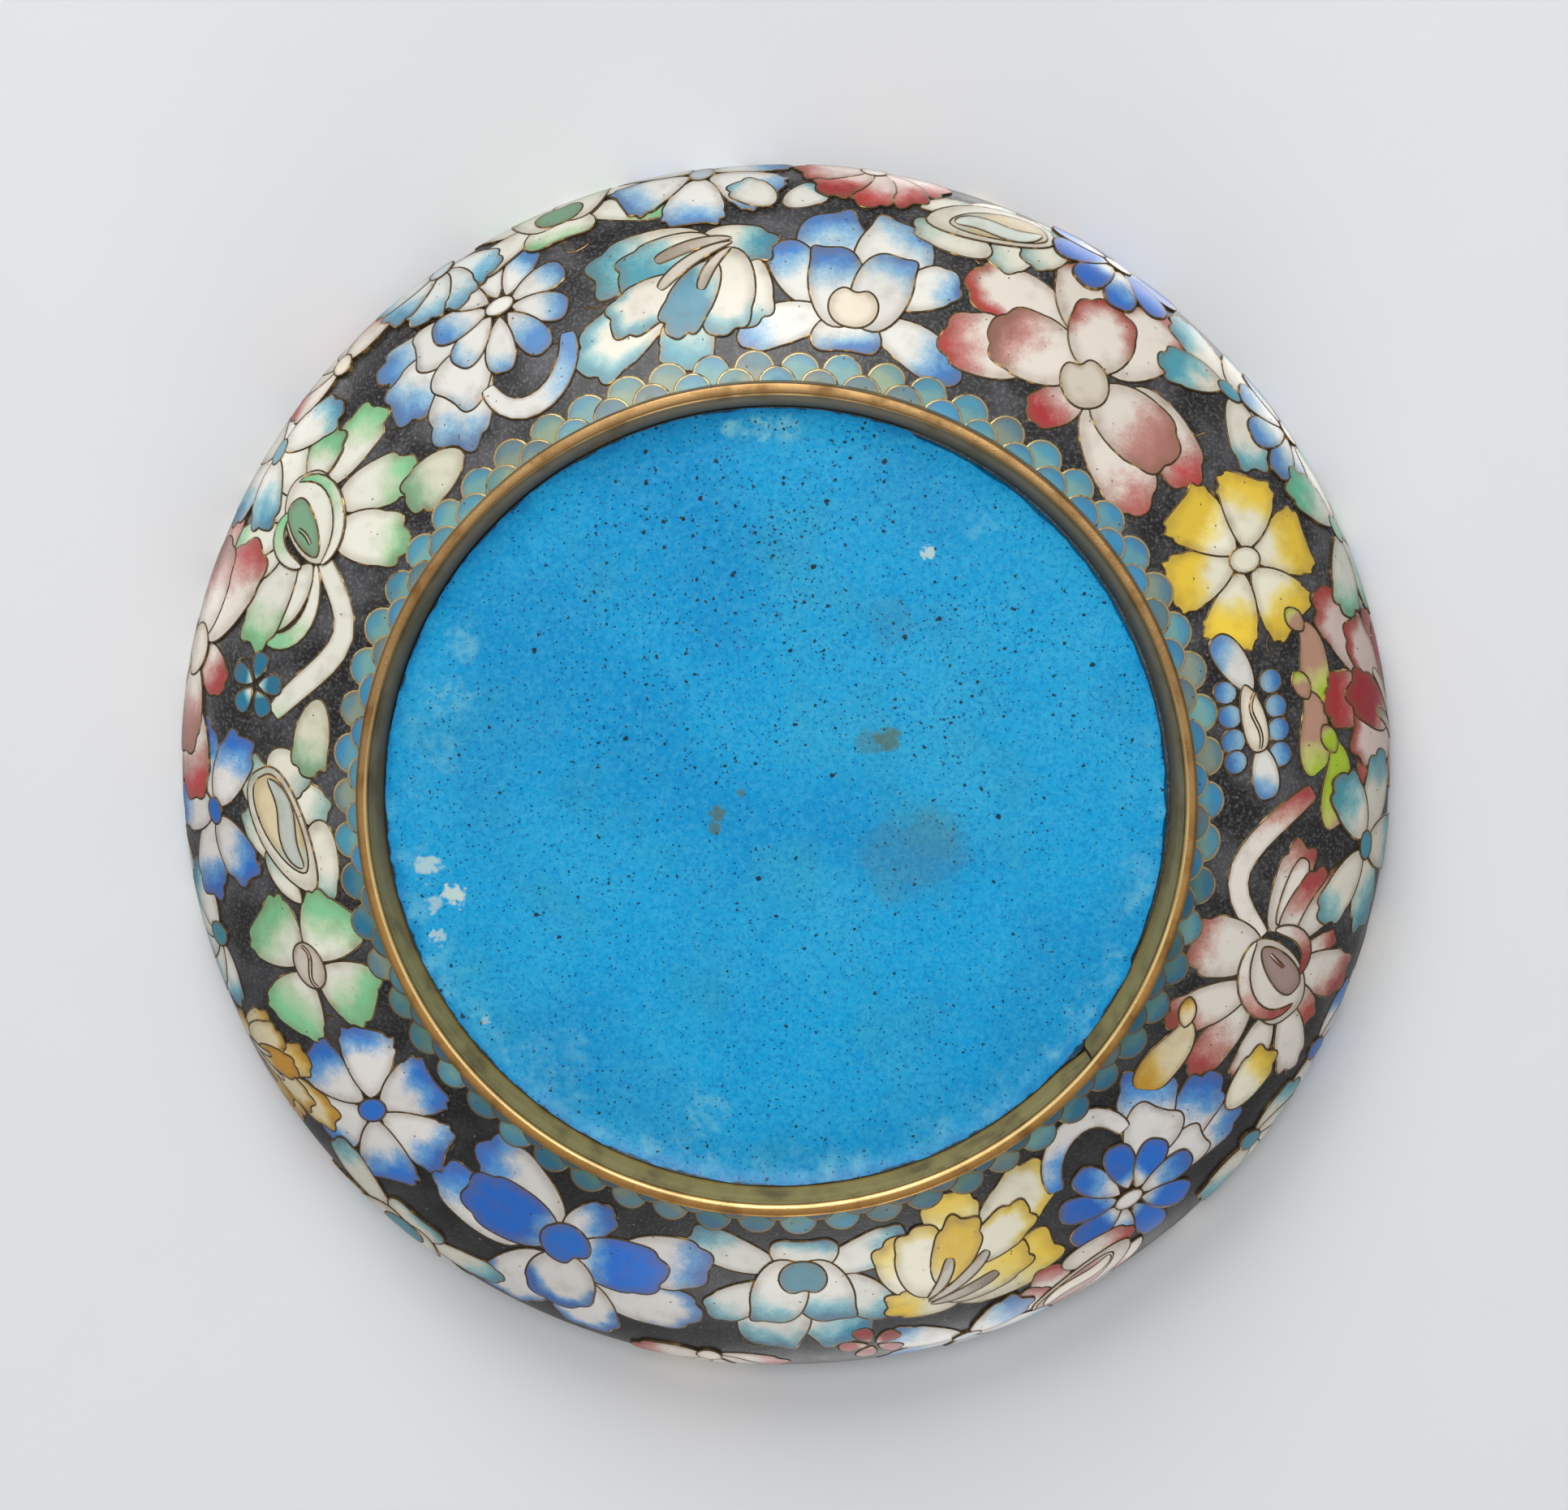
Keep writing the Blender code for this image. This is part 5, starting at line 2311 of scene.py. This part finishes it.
    def plant(self) -> list[tuple[Piece, str]]:
        """Makes every flower piece, the hidden sides first.

        Returns:
            Each piece with its material slot.
        """
        body_top, lid_top = self.body.length / MM, self.lid.length / MM
        shoulder = Sower(self.body, 43.0, body_top - 8.0, random.Random(37))
        blossoms = shoulder.sow(self.large, self.dyes, 0.86, 700, 0.66)
        sprays = shoulder.sow(self.medium, self.dyes, 0.74, 1300, 0.66)
        sprays += shoulder.sow(self.small, self.dyes, 0.88, 2400, 0.70)
        dome = Sower(self.lid, 7.0, lid_top - 6.0, random.Random(71))
        lid_blossoms = dome.sow(self.large, self.dyes, 0.66, 420, 0.66)
        lid_blossoms += dome.sow(self.medium, self.dyes, 0.58, 700, 0.66)
        lid_blossoms += dome.sow(self.small, self.dyes, 0.70, 1200, 0.70)
        body, lid, spare, fine = self.body, self.lid, self.spare, self.fine
        wire, bright = self.cupboard.wire, self.cupboard.bright_wire
        stack, lid_stack = Stack(), Stack()
        flowers = [
            self._laid(Sheet("shoulder_blossoms", body, spare, stack, 41), blossoms, wire),
            self._laid(Sheet("shoulder_sprays", body, spare, stack, 47), sprays, wire),
            self._laid(Sheet("flank_blossoms", body, fine, stack, 11), self.flank(), wire),
            self._laid(Sheet("foot_scales", body, fine, stack, 23, self.scale_wire), (
                ScaleBand(62, 4.6, 1.6), ScaleBand(62, 4.6, -0.2, 0.5),
            ), bright),
            self._laid(Sheet("mouth_scales", body, fine, stack, 43, self.scale_wire), (
                ScaleBand(60, 4.4, body_top - 4.4), ScaleBand(60, 4.4, body_top - 2.2, 0.5),
            ), bright),
            self._laid(Sheet("lid_blossoms", lid, spare, lid_stack, 53), lid_blossoms, wire),
            self._laid(Sheet("lid_scales", lid, fine, lid_stack, 59, self.scale_wire), (
                ScaleBand(60, 4.4, 4.2), ScaleBand(60, 4.4, 2.2, 0.5), ScaleBand(18, 3.6, lid_top - 2.0),
            ), bright),
        ]
        threads = [
            self._laid(Sheet(name, ground, fine, Stack(), seed), (Scrolls(count, high - 6.0),), wire)
            for name, ground, seed, count, high in (
                ("ground_scrolls", body, 61, 130, body_top), ("lid_scrolls", lid, 67, 40, lid_top),
            )
        ]
        slots = ["petal_enamel"] * len(flowers) + ["cloison_wire"] * len(threads)
        return list(zip(flowers + threads, slots))


@dataclass(frozen=True)
class Lamp:
    """A square soft lamp that points at the jar."""

    name: str
    place: tuple[float, float, float]
    size: float
    watts: float
    aim: tuple[float, float, float] = (0.0, 0.0, 0.03)
    colour: Colour = (1.0, 1.0, 1.0)

    def hang(self) -> None:
        """Adds the lamp to the scene."""
        light = bpy.data.lights.new(self.name, "AREA")
        light.shape = "SQUARE"
        light.size = self.size
        light.energy = self.watts
        light.color = self.colour
        holder = in_scene(self.name, light)
        holder.location = self.place
        way = Vector(self.aim) - Vector(self.place)
        holder.rotation_euler = way.to_track_quat("-Z", "Y").to_euler()
        holder.visible_camera = False


@dataclass
class Studio:
    """The floor, the paper behind the jar, the lamps and the camera."""

    eye: tuple[float, float, float] = (0.0252, -0.0932, -0.6625)
    aim: tuple[float, float, float] = (0.00096, -0.0055, 0.0)
    lens: float = 137.6
    floor_half: float = 3.0
    paper_half: float = 0.17
    paper_height: float = 0.031
    air: Colour = (0.80, 0.81, 0.83)
    air_strength: float = 0.40
    lamps: tuple[Lamp, ...] = (
        Lamp("lamp_window", (-0.25, -1.10, -0.95), 0.80, 12.3),
        Lamp("lamp_front", (0.00, -0.30, -1.25), 0.38, 4.2),
        Lamp("lamp_low", (0.10, 1.30, -0.35), 0.70, 4.8),
        Lamp("lamp_top", (0.50, -0.60, 1.00), 0.80, 5.0),
        Lamp("lamp_side", (-0.90, -0.30, 0.60), 0.60, 2.0),
        Lamp("lamp_back", (0.20, 0.90, 0.70), 0.60, 1.6),
    )

    def _panel(
        self, name: str, half: float, height: float, faces_down: bool, paper: Finish
    ) -> None:
        """Adds a flat sheet of paper, seen from one side.

        Args:
            name: its name.
            half: half its width.
            height: its height.
            faces_down: whether it is seen from below.
            paper: its material.
        """
        bm = bmesh.new()
        bmesh.ops.create_grid(bm, x_segments=4, y_segments=4, size=half)
        if faces_down:
            bmesh.ops.reverse_faces(bm, faces=bm.faces)
        for corner in bm.verts:
            corner.co.z = height
        mesh = mesh_from(name, bm)
        mesh.materials.append(paper)
        sheet = in_scene(name, mesh)
        for ray_kind in ("shadow", "diffuse", "glossy", "transmission"):
            setattr(sheet, f"visible_{ray_kind}", False)

    def _camera(self) -> None:
        """Puts the camera under the jar, looking up at the foot with -Y at the top."""
        lens = bpy.data.cameras.new("camera")
        lens.lens = self.lens
        lens.clip_start = 0.01
        camera = in_scene("camera", lens)
        forward = (Vector(self.aim) - Vector(self.eye)).normalized()
        right = forward.cross(Vector((0, -1, 0))).normalized()
        up = right.cross(forward)
        turn = Matrix((right, up, -forward)).transposed().to_4x4()
        camera.matrix_world = Matrix.Translation(self.eye) @ turn
        bpy.context.scene.camera = camera

    def set_up(self) -> None:
        """Sets up the whole studio."""
        paper = StudioPaper().material()
        self._panel("floor", self.floor_half, 0.0, False, paper)
        self._panel("backdrop", self.paper_half, self.paper_height, True, paper)
        world = bpy.data.worlds.new("studio_air")
        world.use_nodes = True
        background = world.node_tree.nodes["Background"]
        background.inputs["Color"].default_value = (*self.air, 1.0)
        background.inputs["Strength"].default_value = self.air_strength
        bpy.context.scene.world = world
        bpy.context.scene.view_settings.view_transform = "Standard"
        for lamp in self.lamps:
            lamp.hang()
        self._camera()


def settle(piece: Piece, slot: str, *nodes: str) -> None:
    """Attaches a piece to the jar's body, hides the CAD nodes it stands for and logs it.

    Args:
        piece: the piece.
        slot: not used.
        nodes: the CAD nodes that it stands for.
    """
    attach(piece, BODY)
    if nodes:
        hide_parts(*nodes)
    log.info("%s: %d faces", piece.name, len(piece.data.polygons))


def main() -> None:
    """Builds the jar and its studio."""
    logging.basicConfig(level=logging.INFO, format="%(message)s")
    cupboard = Cupboard()
    body, lid = JarBody(), Lid()
    bore = body.mouth_radius - body.wall
    settle(body.build(cupboard), "cloisonne_enamel", "jar_body")
    settle(FootRing().build(cupboard, body), "foot_brass", "foot_ring")
    settle(MouthRim().build(cupboard, bore), "gilt_brass", "mouth_rim")
    settle(lid.build(cupboard), "cloisonne_enamel", "lid")
    settle(LidRim().build(cupboard, bore), "gilt_brass", "lid_rim")
    settle(Knob().build(cupboard), "gilt_brass", "lid_knob")
    for piece, slot in Garden(cupboard, body.meridian(), lid.meridian()).plant():
        settle(piece, slot)
    Studio().set_up()


if __name__ == "__main__":
    main()
